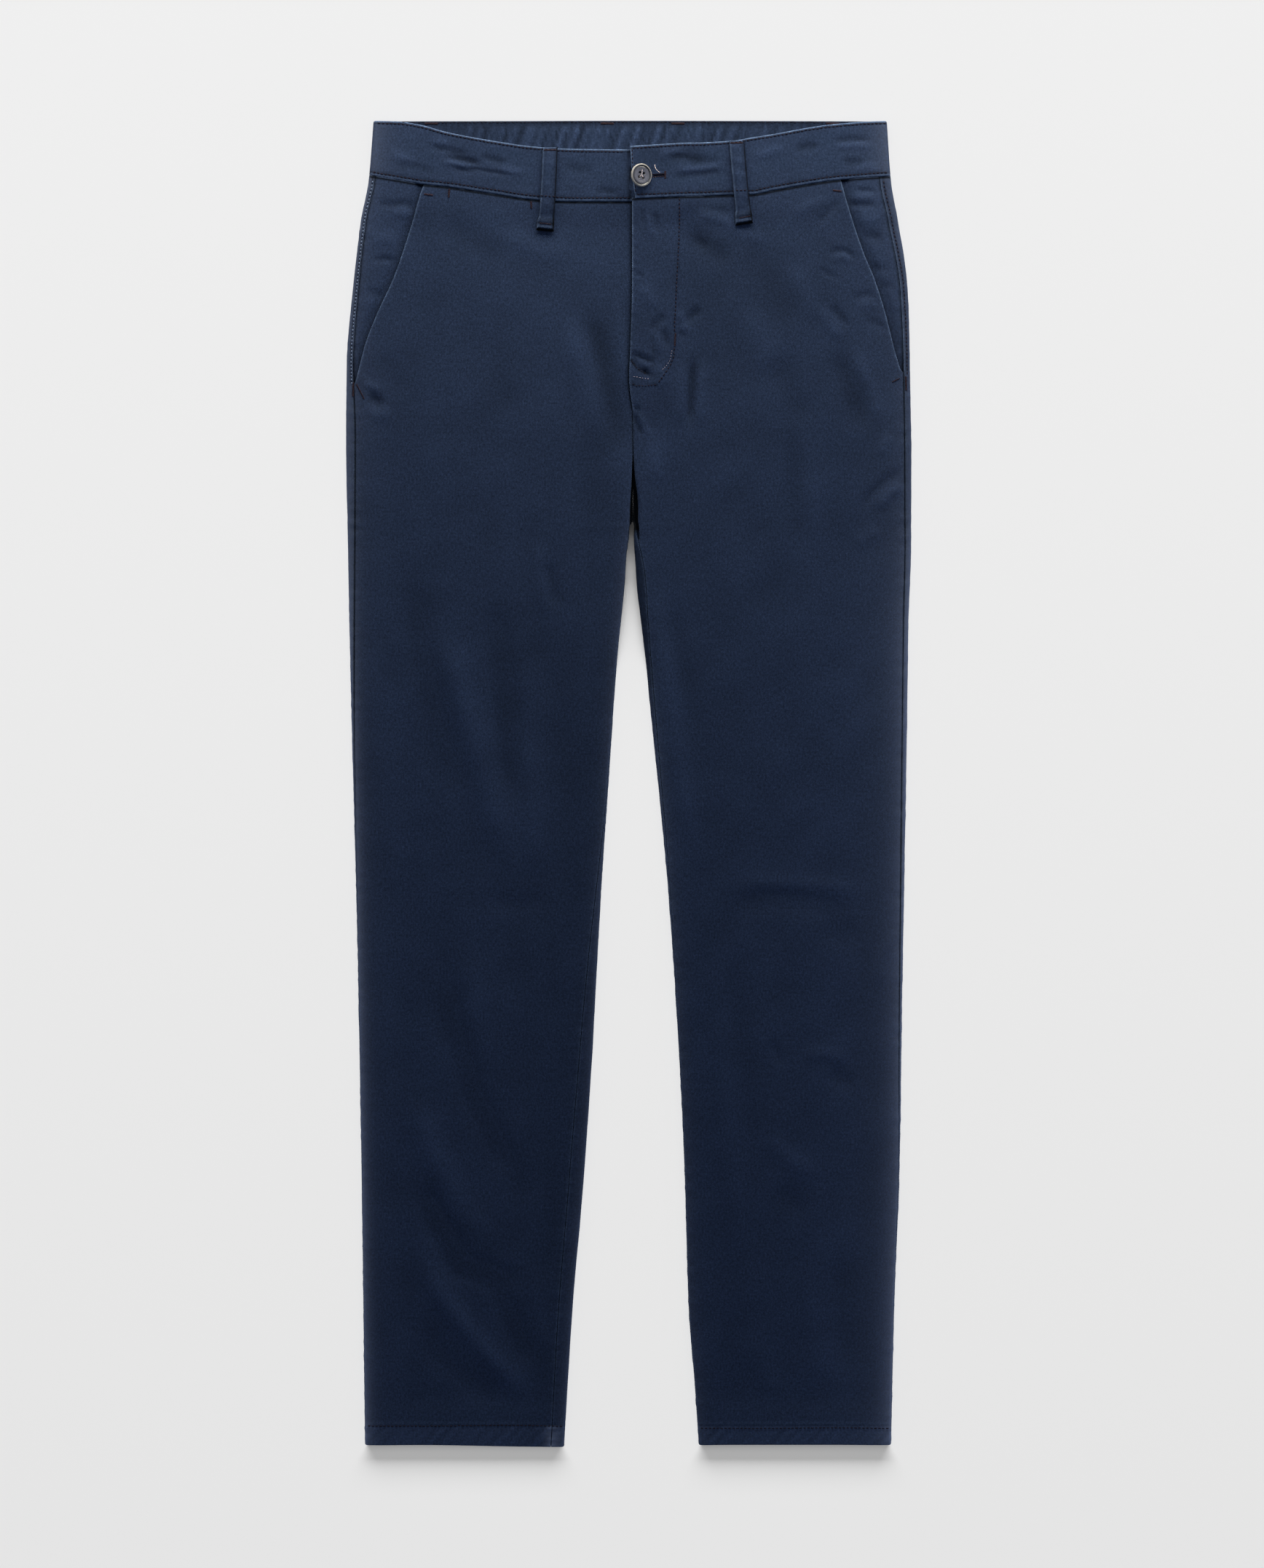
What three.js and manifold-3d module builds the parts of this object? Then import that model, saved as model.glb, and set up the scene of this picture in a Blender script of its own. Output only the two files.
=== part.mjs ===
// Navy chino trousers, buttoned, laid flat on their back. Millimetres: +X to the viewer's right, which is the wearer's
// left, +Y towards the waist and +Z up from the surface. A drop is measured down from the back of the waist.
import * as THREE from "three";
import { mergeVertices } from "three/addons/utils/BufferGeometryUtils.js";
import Module from "manifold-3d";

const wasm = await Module();
wasm.setup();

// Driving sizes
const LENGTH = 1050; // from the back of the waist to the hems
const CLOTH = 1.3; // one thickness of the cotton
const GAP = 0.3; // between pieces that are sewn side by side or lie on each other
const HEM = { depth: 15.5, thick: 2.3, ramp: 0.6 }; // the last of each leg, turned up and stitched
const BAND = { thick: 2.6, floor: 1.4, top: 6.9, underlap: 36, middleDrop: 20 };
const OVERLAP = { rise: 2.9, panelRise: 1.7, full: 40, end: 60, panelFull: 28, panelEnd: 50, settle: 25 };
const FLY = { base: 214, shut: 229 }; // drops where the overlap ends and where the fronts meet edge to edge
const CROTCH = 319; // drop of the point where the four leg pieces meet
const SEAM_OPENS = 4; // below the crotch, the drop in which the inside-leg seam opens to its gap
const SEAT_CURVE = 285; // drop where the back seam leaves the surface for the crotch
// A facing runs in under the front and below the pocket's point, and lies below the front that covers it
const FACING = { under: 28, below: 10, sink: CLOTH + 1.6 * GAP, clear: [2, 9], columns: 7, crowding: 1.2 };
const FOLD_SOFTNESS = 18; // how far a fold's fullness spreads into the leg
const WAIST_SPREAD = 110; // how far down the curve of the waist seam bends the rows of a panel
const HALF_TURN = Math.PI / 2;

// How many columns a panel has over its outer fold, between the folds and over its inner fold, and how far past a
// fold its columns of the fold run
const FRONT_COLUMNS = { outer: 4, between: 7, inner: 4, past: 3, apart: 6 };
const BACK_COLUMNS = { outer: 6, between: 4, inner: 7, past: 8, pastAtCrotch: 1 };

// The band's places: distances in from each side on the front, and the counts round a side, across the back and down
const BAND_PLACES = {
  rightInsets: [240, 222, 204, 182, 160, 142, 124, 98, 80, 60, 40, 22, 10],
  leftInsets: [10, 22, 40, 62, 92, 110, 125, 143, 150, 157, 164, 180, 196, 204.7],
  turn: 6,
  back: 12,
  down: 2,
};

// Heights of the flattened tube at each drop: where it lies, the top of its folds and the top between them
const LEVELS = [
  { drop: 43, floor: 1.85, fold: 6.5, middle: 6.5 },
  { drop: 66, floor: 1.45, fold: 6.5, middle: 6.3 },
  { drop: 90, floor: 0, fold: 6.2, middle: 5.2 },
  { drop: 160, floor: 0, fold: 6.2, middle: 4.8 },
  { drop: 229, floor: 0, fold: 6.2, middle: 4.6 },
  { drop: 319, floor: 0, fold: 6.2, middle: 4.0 },
  { drop: 500, floor: 0, fold: 6.0, middle: 3.6 },
  { drop: 1010, floor: 0, fold: 6.0, middle: 3.7 },
  { drop: 1034, floor: 0, fold: 6.3, middle: 5.1 },
  { drop: 1050, floor: 0, fold: 6.3, middle: 5.1 },
];

// The two halves, named as the wearer's. edge is the outline at the hip and down the leg, with the side seam's place
// inside it. inner is the centre seam and then the leg's inner outline, with the inside-leg seam's place inside it.
// waist is the front band's upper edge and its seam. slant is the pocket's edge, down to its point.
const RIGHT = {
  name: "right",
  inward: 1,
  edge: [
    { drop: 0, x: -201.5, seam: 4.9 },
    { drop: 49, x: -205.6, seam: 4.9 },
    { drop: 78, x: -211.3, seam: 4.4 },
    { drop: 135, x: -218.2, seam: 4.8 },
    { drop: 193, x: -222.9, seam: 5.3 },
    { drop: 251, x: -223.4, seam: 7.4 },
    { drop: 332, x: -222.1, seam: 5.8 },
    { drop: 424, x: -220.3, seam: 3.4 },
    { drop: 510, x: -218.1, seam: 1.4 },
    { drop: 655, x: -214.4, seam: 0.4 },
    { drop: 827, x: -211.3, seam: 0.2 },
    { drop: 1050, x: -208.4, seam: 0.2 },
  ],
  inner: [
    { drop: 40, x: 2.85, seam: 0 },
    { drop: 229, x: 2.85, seam: 0 },
    { drop: 262, x: 3.8, seam: 0 },
    { drop: 308, x: 3.4, seam: 0 },
    { drop: 319, x: 2.3, seam: 0 },
    { drop: 332, x: -0.6, seam: 0 },
    { drop: 343, x: -2.3, seam: 0.1 },
    { drop: 366, x: -3.7, seam: 0.1 },
    { drop: 424, x: -9.5, seam: 0.2 },
    { drop: 539, x: -17.6, seam: 1.0 },
    { drop: 597, x: -21.6, seam: 3.4 },
    { drop: 662, x: -25.4, seam: 7.0 },
    { drop: 730, x: -28.9, seam: 9.8 },
    { drop: 842, x: -36.5, seam: 11.5 },
    { drop: 943, x: -45.3, seam: 11.0 },
    { drop: 1050, x: -51.8, seam: 10.4 },
  ],
  waist: [
    { x: -205, top: 1.5, seam: 43.9 },
    { x: -184, top: 1.6, seam: 47.3 },
    { x: -164, top: 4.1, seam: 50.6 },
    { x: -144, top: 9.3, seam: 52.6 },
    { x: -106, top: 16.4, seam: 58.2 },
    { x: -73, top: 21.0, seam: 63.0 },
    { x: -42, top: 22.8, seam: 64.6 },
    { x: 40, top: 23.6, seam: 64.6 },
  ],
  slant: [
    { drop: 48, x: -161.0 },
    { drop: 57, x: -164.6 },
    { drop: 83, x: -172.1 },
    { drop: 124, x: -186.0 },
    { drop: 153, x: -199.2 },
    { drop: 175, x: -207.9 },
    { drop: 194, x: -213.1 },
    { drop: 208, x: -216.5 },
  ],
};
const LEFT = {
  name: "left",
  inward: -1,
  edge: [
    { drop: 0, x: 203.8, seam: 8.9 },
    { drop: 49, x: 207.3, seam: 8.9 },
    { drop: 78, x: 212.5, seam: 8.1 },
    { drop: 135, x: 220.6, seam: 6.2 },
    { drop: 193, x: 222.3, seam: 5.4 },
    { drop: 280, x: 223.4, seam: 5.4 },
    { drop: 337, x: 223.2, seam: 5.0 },
    { drop: 395, x: 221.3, seam: 4.3 },
    { drop: 510, x: 219.5, seam: 3.8 },
    { drop: 712, x: 215.9, seam: 2.2 },
    { drop: 827, x: 214.2, seam: 0.9 },
    { drop: 943, x: 209.8, seam: 0.3 },
    { drop: 1050, x: 207.3, seam: 0.2 },
  ],
  inner: [
    { drop: 40, x: 3.15, seam: 0 },
    { drop: 229, x: 3.15, seam: 0 },
    { drop: 262, x: 4.1, seam: 0 },
    { drop: 308, x: 3.8, seam: 0 },
    { drop: 319, x: 3.9, seam: 0 },
    { drop: 332, x: 4.6, seam: 3.4 },
    { drop: 354, x: 6.1, seam: 6.5 },
    { drop: 369, x: 7.0, seam: 7.3 },
    { drop: 395, x: 10.1, seam: 5.8 },
    { drop: 430, x: 14.2, seam: 4.3 },
    { drop: 481, x: 19.3, seam: 3.4 },
    { drop: 597, x: 30.8, seam: 1.6 },
    { drop: 712, x: 38.9, seam: 0.7 },
    { drop: 827, x: 44.7, seam: 0.3 },
    { drop: 943, x: 48.3, seam: 0.2 },
    { drop: 1000, x: 52.8, seam: 0.2 },
    { drop: 1050, x: 56.2, seam: 0.2 },
  ],
  waist: [
    { x: -1, top: 21.0, seam: 62.6 },
    { x: 37, top: 18.7, seam: 61.1 },
    { x: 83, top: 16.1, seam: 59.2 },
    { x: 95, top: 14.0, seam: 59.0 },
    { x: 113, top: 11.2, seam: 55.7 },
    { x: 143, top: 5.8, seam: 50.5 },
    { x: 161, top: 3.5, seam: 47.9 },
    { x: 197, top: 1.6, seam: 45.0 },
    { x: 207, top: 1.5, seam: 44.4 },
  ],
  slant: [
    { drop: 46, x: 167.6 },
    { drop: 70, x: 174.4 },
    { drop: 106, x: 186.5 },
    { drop: 124, x: 194.0 },
    { drop: 153, x: 203.3 },
    { drop: 183, x: 210.8 },
    { drop: 200, x: 215.9 },
  ],
};

// The band across the wearer's back: its upper edge and its seam
const BACK_WAIST = [
  { x: -205, top: 1.5, seam: 43.9 },
  { x: -110, top: 0.4, seam: 42.3 },
  { x: 0, top: 0, seam: 41.6 },
  { x: 110, top: 0.4, seam: 42.4 },
  { x: 207, top: 1.5, seam: 44.4 },
];

// The overlap's edge and, under it, the edge of the right front, down to where the two meet
const FLY_EDGES = [
  { drop: 60, over: 2.6, under: 10.6 },
  { drop: 127, over: 2.6, under: 10.6 },
  { drop: 187, over: 0.9, under: 9.0 },
  { drop: 203, over: 0.3, under: 5.5 },
  { drop: 214, over: 0.9, under: 0.5 },
  { drop: 229, over: 3.15, under: 2.85 },
];

// The broad folds die away between these drops at the waist and at the hems, and between these distances from the
// folded edges. Above the crotch the inner distances count from further in.
const DRAPE_ENDS = { waist: [66, 90], hem: [985, 1025], outer: [2, 16], inner: [-1, 12], innerFlat: 14 };

// The broad folds of the fronts: each runs from one end to the other, raised where lift is more than nothing
const DRAPE = [
  { fromX: -37, fromDrop: 135, toX: -11, toDrop: 262, width: 15, lift: -0.6 },
  { fromX: -64, fromDrop: 120, toX: -30, toDrop: 250, width: 18, lift: 0.5 },
  { fromX: -169, fromDrop: 340, toX: -110, toDrop: 560, width: 20, lift: 0.6 },
  { fromX: -100, fromDrop: 395, toX: -88, toDrop: 545, width: 15, lift: -0.6 },
  { fromX: -60, fromDrop: 400, toX: -62, toDrop: 600, width: 18, lift: 0.5 },
  { fromX: -169, fromDrop: 850, toX: -88, toDrop: 908, width: 17, lift: -0.6 },
  { fromX: -150, fromDrop: 815, toX: -80, toDrop: 876, width: 15, lift: 0.6 },
  { fromX: -140, fromDrop: 937, toX: -65, toDrop: 1008, width: 17, lift: 0.6 },
  { fromX: 51, fromDrop: 165, toX: 54, toDrop: 262, width: 12, lift: -0.5 },
  { fromX: 165, fromDrop: 185, toX: 194, toDrop: 245, width: 15, lift: -0.6 },
  { fromX: 131, fromDrop: 181, toX: 136, toDrop: 349, width: 14, lift: -0.5 },
  { fromX: 36, fromDrop: 430, toX: 74, toDrop: 620, width: 16, lift: 0.6 },
  { fromX: 75, fromDrop: 622, toX: 190, toDrop: 630, width: 17, lift: -0.6 },
  { fromX: 142, fromDrop: 741, toX: 184, toDrop: 764, width: 15, lift: -0.5 },
];

// A front loop bows up between its ends, settles on the front below the seam, and its end is turned under. Its rows
// are even down to the turned end, and then those of the thicker part.
const BELT_LOOP = { width: 11, thick: 1.5, bow: 1.2, bowTo: 0.85, settle: [2, 14], turnUp: 9, turnRamp: 1.5, across: 3 };
const LOOP_ROWS = { even: 8, evenTo: 0.84, end: [0.875, 0.94, 1] };
const FRONT_LOOPS = [
  { name: "belt_loop_front_right", half: RIGHT, topX: -62.3, endX: -65.7, startDrop: 22.6, endDrop: 86.5 },
  { name: "belt_loop_front_left", half: LEFT, topX: 85.3, endX: 91.4, startDrop: 16.8, endDrop: 81.3 },
];
const BACK_LOOP = { thick: 1.1, startDrop: 1.8, endDrop: 64 };
const BACK_LOOPS = [
  { name: "belt_loop_back_right_side", x: -156.5 },
  { name: "belt_loop_back_right", x: -17 },
  { name: "belt_loop_back_left", x: 39 },
  { name: "belt_loop_back_left_side", x: 161.7 },
];
const BUTTON = { x: 10, drop: 43.2, radius: 8.7, thick: 3, rim: 1.3, dish: 0.9, shank: 1.2, sides: 32 };
const BUTTON_EDGE = { underIn: 1, underUp: 0.9, topIn: 0.7, topDown: 0.8, dishIn: 0.8 };
const BUTTON_HOLES = { count: 4, circle: 2.6, radius: 0.85, sides: 10 };
const BUTTONHOLE = { endX: 28, width: 1, eye: 1.9, drop: 42.8, curveSegments: 10, clear: 0.05 };
const ZIP = { width: 16, startDrop: 70, endDrop: 204, fromEdge: 1.5 * GAP, rows: 8, columns: 2 };
const SHIELD = { width: 34, thick: 1, endDrop: 222, endWidth: 14, roundedFrom: 0.8, rows: 8, columns: 3 };

const NAVY = { color: 0x2c3b55, roughness: 0.9, metalness: 0 };
const DARK_NAVY = { color: 0x232f47, roughness: 0.92, metalness: 0 };
const PALE_BUTTON = { color: 0xb9b3a8, roughness: 0.35, metalness: 0 };

const mix = (from, to, share) => from + (to - from) * share;
const steps = (count) => Array.from({ length: count + 1 }, (_, i) => i / count);
const clamp = THREE.MathUtils.clamp;
const ease = (from, to, at) => THREE.MathUtils.smoothstep(at, from, to);

// The value of a column at a place along a table, on a smooth curve that never passes beyond its rows.
function along(table, key, place, column) {
  const last = table.length - 1;
  if (place <= table[0][key]) return table[0][column];
  if (place >= table[last][key]) return table[last][column];
  const i = table.findIndex((row) => row[key] >= place) - 1;
  const rise = (j) => (table[j + 1][column] - table[j][column]) / (table[j + 1][key] - table[j][key]);
  const slope = (j) => {
    if (j === 0) return rise(0);
    if (j === last) return rise(last - 1);
    const [before, after] = [rise(j - 1), rise(j)];
    return before * after <= 0 ? 0 : (2 * before * after) / (before + after);
  };
  const span = table[i + 1][key] - table[i][key];
  const t = (place - table[i][key]) / span;
  const near = (1 + 2 * t) * (1 - t) ** 2 * table[i][column] + t * (1 - t) ** 2 * span * slope(i);
  const far = t * t * (3 - 2 * t) * table[i + 1][column] - t * t * (1 - t) * span * slope(i + 1);
  return near + far;
}

// How much the broad folds raise or lower the front at a place.
function drape(x, drop) {
  return DRAPE.reduce((sum, fold) => {
    const run = new THREE.Vector2(fold.toX - fold.fromX, fold.toDrop - fold.fromDrop);
    const here = new THREE.Vector2(x - fold.fromX, drop - fold.fromDrop);
    const share = clamp(here.dot(run) / run.lengthSq(), 0, 1);
    const away = here.sub(run.multiplyScalar(share)).length() / fold.width;
    return sum + (away < 1 ? fold.lift * (1 - away * away) ** 2 : 0);
  }, 0);
}

// How far the front's fold at the centre has turned down: a quarter turn is not at all, nothing is halfway round.
const frontTurn = (drop) => HALF_TURN * (1 - ease(FLY.shut, CROTCH, drop));
const backTurn = (drop) => HALF_TURN * (1 - ease(SEAT_CURVE, CROTCH, drop));

const level = (drop, column) => along(LEVELS, "drop", drop, column);
const outerX = (half, drop) => along(half.edge, "drop", drop, "x");
const innerX = (half, drop) => along(half.inner, "drop", drop, "x");
const outerRadius = (drop) => (level(drop, "fold") - level(drop, "floor")) / 2;
const HEM_START = LENGTH - HEM.depth;
const wallAt = (drop) => mix(CLOTH, HEM.thick, ease(HEM_START - HEM.ramp, HEM_START + HEM.ramp, drop));

function innerTop(drop) {
  return mix(level(drop, "middle"), level(drop, "fold"), Math.cos(frontTurn(drop)));
}

const innerRadius = (drop) => (innerTop(drop) - level(drop, "floor")) / 2;

// The height of the front's outside at a place between its folds.
function frontHeight(half, x, drop) {
  const fromOuter = Math.abs(x - outerX(half, drop)) - outerRadius(drop);
  const fromInner = Math.abs(x - innerX(half, drop)) - innerRadius(drop);
  const middle = level(drop, "middle");
  const swell = (away, top) => (top - middle) * Math.exp(-((Math.max(0, away) / FOLD_SOFTNESS) ** 2));
  const folds = swell(fromOuter, level(drop, "fold")) + swell(fromInner, innerTop(drop));
  const { waist, hem, outer, inner, innerFlat } = DRAPE_ENDS;
  const seamClear = ease(...waist, drop) * (1 - ease(...hem, drop));
  const edgeClear = ease(...outer, fromOuter) * ease(...inner, fromInner + innerFlat * Math.sin(frontTurn(drop)));
  return middle + folds + drape(x, drop) * seamClear * edgeClear;
}

// How much the overlap lifts the left front over the right one and the underlap.
function overlapLift(x, drop) {
  const inset = x - along(FLY_EDGES, "drop", drop, "over");
  const seam = along(LEFT.waist, "x", x, "seam");
  const settled = ease(seam, seam + OVERLAP.settle, drop);
  const lift = mix(OVERLAP.rise, OVERLAP.panelRise, settled);
  const full = mix(OVERLAP.full, OVERLAP.panelFull, settled);
  const end = mix(OVERLAP.end, OVERLAP.panelEnd, settled);
  return lift * (1 - ease(full, end, inset)) * (1 - ease(FLY.base, FLY.shut, drop));
}

// How far round the cloth a place lies from the outermost line of a fold, from how far inside the outline it shows.
const roundFrom = (inset, radius) =>
  inset < radius ? radius * Math.acos(1 - inset / radius) : radius * HALF_TURN + inset - radius;

// A point of the section beside a folded edge. reach goes round the cloth from the fold's outermost line, up and over
// where it is positive and down under where it is negative. turn is the angle at which the fold starts.
function foldPoint({ edge, inward, radius, floor, turn = 0 }, reach) {
  const angle = clamp(reach / radius, -HALF_TURN, HALF_TURN);
  const past = Math.max(0, Math.abs(reach) - radius * HALF_TURN);
  const inset = radius * (Math.cos(turn) - Math.cos(angle)) + past;
  return {
    x: edge + inward * inset,
    z: floor + radius * (1 + Math.sin(angle)),
    outX: -inward * Math.cos(angle),
    outZ: Math.sin(angle),
    onTop: reach > radius * HALF_TURN,
  };
}

function outerPoint(half, drop, reach) {
  const fold = {
    edge: outerX(half, drop),
    inward: half.inward,
    radius: outerRadius(drop),
    floor: level(drop, "floor"),
  };
  const point = foldPoint(fold, reach);
  if (point.onTop) point.z = frontHeight(half, point.x, drop);
  return point;
}

function innerPoint(half, drop, reach, turn, edge = innerX(half, drop)) {
  const fold = { edge, inward: -half.inward, radius: innerRadius(drop), floor: level(drop, "floor"), turn };
  const point = foldPoint(fold, reach);
  if (point.onTop) point.z = frontHeight(half, point.x, drop);
  return point;
}

const topPoint = (half, drop, x) => ({ x, z: frontHeight(half, x, drop), outX: 0, outZ: 1 });
const floorPoint = (drop, x) => ({ x, z: level(drop, "floor"), outX: 0, outZ: -1 });

const sideSeam = (half, drop) => roundFrom(along(half.edge, "drop", drop, "seam"), outerRadius(drop));
const legSeam = (half, drop) => roundFrom(along(half.inner, "drop", drop, "seam"), innerRadius(drop));
const slantInset = (half, drop) => Math.abs(along(half.slant, "drop", drop, "x") - outerX(half, drop));
const pocketPoint = (half) => half.slant[half.slant.length - 1].drop;

// Where the front starts beside the side seam: along the pocket's slanted edge, and below its point at the seam.
function frontStart(half, drop) {
  const seam = sideSeam(half, drop) + GAP / 2;
  if (drop > pocketPoint(half)) return seam;
  return Math.max(seam, roundFrom(slantInset(half, drop), outerRadius(drop)));
}

// Where the front ends at the centre or at the inside-leg seam, as a place round the inner fold.
function frontEnd(half, drop) {
  if (drop < CROTCH) return innerRadius(drop) * frontTurn(drop);
  return legSeam(half, drop) + (GAP / 2) * ease(CROTCH, CROTCH + SEAM_OPENS, drop);
}

function backEnd(half, drop) {
  if (drop < CROTCH) return -innerRadius(drop) * backTurn(drop);
  return legSeam(half, drop) - (GAP / 2) * ease(CROTCH, CROTCH + SEAM_OPENS, drop);
}

// The front's inner outline: the overlap or the edge under it down to the fly's base, and the fold below.
function frontInnerX(half, drop) {
  if (drop >= FLY.shut) return innerX(half, drop);
  return along(FLY_EDGES, "drop", drop, half === LEFT ? "over" : "under");
}

// A panel's columns: each is a function that gives the section's point at a drop.
function frontColumns(half) {
  const { past, apart } = FRONT_COLUMNS;
  const outerStop = (drop) => Math.max(outerRadius(drop) * HALF_TURN + past, frontStart(half, drop) + apart);
  const innerStop = (drop) => Math.max(innerRadius(drop) * HALF_TURN + past, frontEnd(half, drop) + apart);
  const outer = (share) => (drop) =>
    outerPoint(half, drop, mix(frontStart(half, drop), outerStop(drop), share));
  const inner = (share) => (drop) =>
    innerPoint(half, drop, mix(innerStop(drop), frontEnd(half, drop), share), frontTurn(drop), frontInnerX(half, drop));
  const between = (share) => (drop) => topPoint(half, drop, mix(outer(1)(drop).x, inner(0)(drop).x, share));
  return [
    ...steps(FRONT_COLUMNS.outer).map(outer),
    ...steps(FRONT_COLUMNS.between).slice(1, -1).map(between),
    ...steps(FRONT_COLUMNS.inner).map(inner),
  ];
}

function backColumns(half) {
  const past = (drop) => mix(BACK_COLUMNS.past, BACK_COLUMNS.pastAtCrotch, ease(SEAT_CURVE, CROTCH, drop));
  const outerStop = (drop) => -outerRadius(drop) * HALF_TURN;
  const innerStop = (drop) => -innerRadius(drop) * HALF_TURN - past(drop);
  const start = (drop) => sideSeam(half, drop) - GAP / 2;
  const outer = (share) => (drop) => outerPoint(half, drop, mix(start(drop), outerStop(drop), share));
  const inner = (share) => (drop) =>
    innerPoint(half, drop, mix(innerStop(drop), backEnd(half, drop), share), backTurn(drop));
  const between = (share) => (drop) => floorPoint(drop, mix(outer(1)(drop).x, inner(0)(drop).x, share));
  return [
    ...steps(BACK_COLUMNS.outer).map(outer),
    ...steps(BACK_COLUMNS.between).slice(1, -1).map(between),
    ...steps(BACK_COLUMNS.inner).map(inner),
  ];
}

function facingColumns(half) {
  const start = (drop) => sideSeam(half, drop) + GAP / 2;
  const stop = (drop) =>
    Math.max(start(drop), roundFrom(slantInset(half, drop), outerRadius(drop))) + FACING.under;
  return steps(FACING.columns).map((share) => (drop) => {
    const point = outerPoint(half, drop, mix(start(drop), stop(drop), share ** FACING.crowding));
    const outside = slantInset(half, drop) - Math.abs(point.x - outerX(half, drop));
    point.z -= FACING.sink * (1 - ease(...FACING.clear, outside));
    return point;
  });
}

const PANEL_ROWS = [
  43, 48, 55, 66, 78, 92, 112, 135, 158, 182, 200, 214, 229, 248, 268, 285, 298, 309, 319, 330, 343, 362, 395, 440,
  500, 570, 650, 740, 830, 920, 985, 1020, 1033.5, 1035.5, 1050,
];

const placed = (point, drop) => new THREE.Vector3(point.x, LENGTH / 2 - drop, point.z);

// The drop of a panel's row in one column, bent near the waist to follow the seam of the band.
function bentDrop(half, column, row) {
  const flat = column(row);
  const seam = flat.outZ < 0 ? along(BACK_WAIST, "x", flat.x, "seam") : along(half.waist, "x", flat.x, "seam");
  return row + (seam + GAP / 2 - PANEL_ROWS[0]) * (1 - ease(PANEL_ROWS[0], PANEL_ROWS[0] + WAIST_SPREAD, row));
}

// The outside and inside points of a panel, row by row. lift raises both where a piece lies over another.
function panelGrids(half, columns, rows, { thick = wallAt, lift = () => 0 } = {}) {
  const outside = [];
  const inside = [];
  for (const row of rows) {
    const line = columns.map((column) => {
      const drop = bentDrop(half, column, row);
      const point = column(drop);
      point.z += lift(point.x, drop);
      return { point, drop };
    });
    outside.push(line.map(({ point, drop }) => placed(point, drop)));
    inside.push(
      line.map(({ point, drop }) =>
        placed({ x: point.x - point.outX * thick(drop), z: point.z - point.outZ * thick(drop) }, drop),
      ),
    );
  }
  return { outside, inside };
}

// A closed wall between two matching grids of points.
function wall({ outside, inside }) {
  const rows = outside.length;
  const columns = outside[0].length;
  const positions = [...outside.flat(), ...inside.flat()].flatMap((p) => [p.x, p.y, p.z]);
  const out = (i, j) => i * columns + j;
  const within = (i, j) => rows * columns + out(i, j);
  const faces = [];
  const quad = (a, b, c, d) => faces.push(a, b, c, a, c, d);
  for (let i = 0; i + 1 < rows; i += 1)
    for (let j = 0; j + 1 < columns; j += 1) {
      quad(out(i, j), out(i + 1, j), out(i + 1, j + 1), out(i, j + 1));
      quad(within(i, j), within(i, j + 1), within(i + 1, j + 1), within(i + 1, j));
    }
  for (let i = 0; i + 1 < rows; i += 1) {
    quad(out(i, 0), within(i, 0), within(i + 1, 0), out(i + 1, 0));
    quad(out(i, columns - 1), out(i + 1, columns - 1), within(i + 1, columns - 1), within(i, columns - 1));
  }
  for (let j = 0; j + 1 < columns; j += 1) {
    quad(out(0, j), out(0, j + 1), within(0, j + 1), within(0, j));
    quad(out(rows - 1, j), within(rows - 1, j), within(rows - 1, j + 1), out(rows - 1, j + 1));
  }
  return facingOut(positions, faces);
}

// A geometry of these triangles, turned round where they would face inwards.
function facingOut(positions, faces) {
  const corner = (i) => new THREE.Vector3().fromArray(positions, 3 * faces[i]);
  let volume = 0;
  for (let i = 0; i < faces.length; i += 3) volume += corner(i).dot(corner(i + 1).cross(corner(i + 2)));
  if (volume < 0) faces.reverse();
  const geometry = new THREE.BufferGeometry();
  geometry.setAttribute("position", new THREE.Float32BufferAttribute(positions, 3));
  geometry.setIndex(faces);
  geometry.computeVertexNormals();
  return geometry;
}

// Corners nearer than this are one corner.
const SAME_POINT = 1e-4;

function solidOf(geometry) {
  const bare = geometry.clone();
  bare.deleteAttribute("normal");
  bare.deleteAttribute("uv");
  const merged = mergeVertices(bare, SAME_POINT);
  const mesh = new wasm.Mesh({
    numProp: 3,
    vertProperties: merged.attributes.position.array,
    triVerts: new Uint32Array(merged.index.array),
  });
  return new wasm.Manifold(mesh);
}

function geometryOf(solid) {
  const mesh = solid.getMesh();
  const geometry = new THREE.BufferGeometry();
  geometry.setAttribute("position", new THREE.BufferAttribute(mesh.vertProperties, 3));
  geometry.setIndex(new THREE.BufferAttribute(mesh.triVerts, 1));
  geometry.computeVertexNormals();
  return geometry;
}

const trousers = new THREE.Group();

function addPiece(name, geometry, finish) {
  const piece = new THREE.Mesh(geometry, new THREE.MeshStandardMaterial(finish));
  piece.name = name;
  trousers.add(piece);
}

const frontPanel = (half) =>
  wall(panelGrids(half, frontColumns(half), PANEL_ROWS, { lift: half === LEFT ? overlapLift : undefined }));

const backPanel = (half) => wall(panelGrids(half, backColumns(half), PANEL_ROWS));

function pocketFacing(half) {
  const rows = PANEL_ROWS.filter((row) => row <= pocketPoint(half) + FACING.below);
  return wall(panelGrids(half, facingColumns(half), rows));
}

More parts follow.
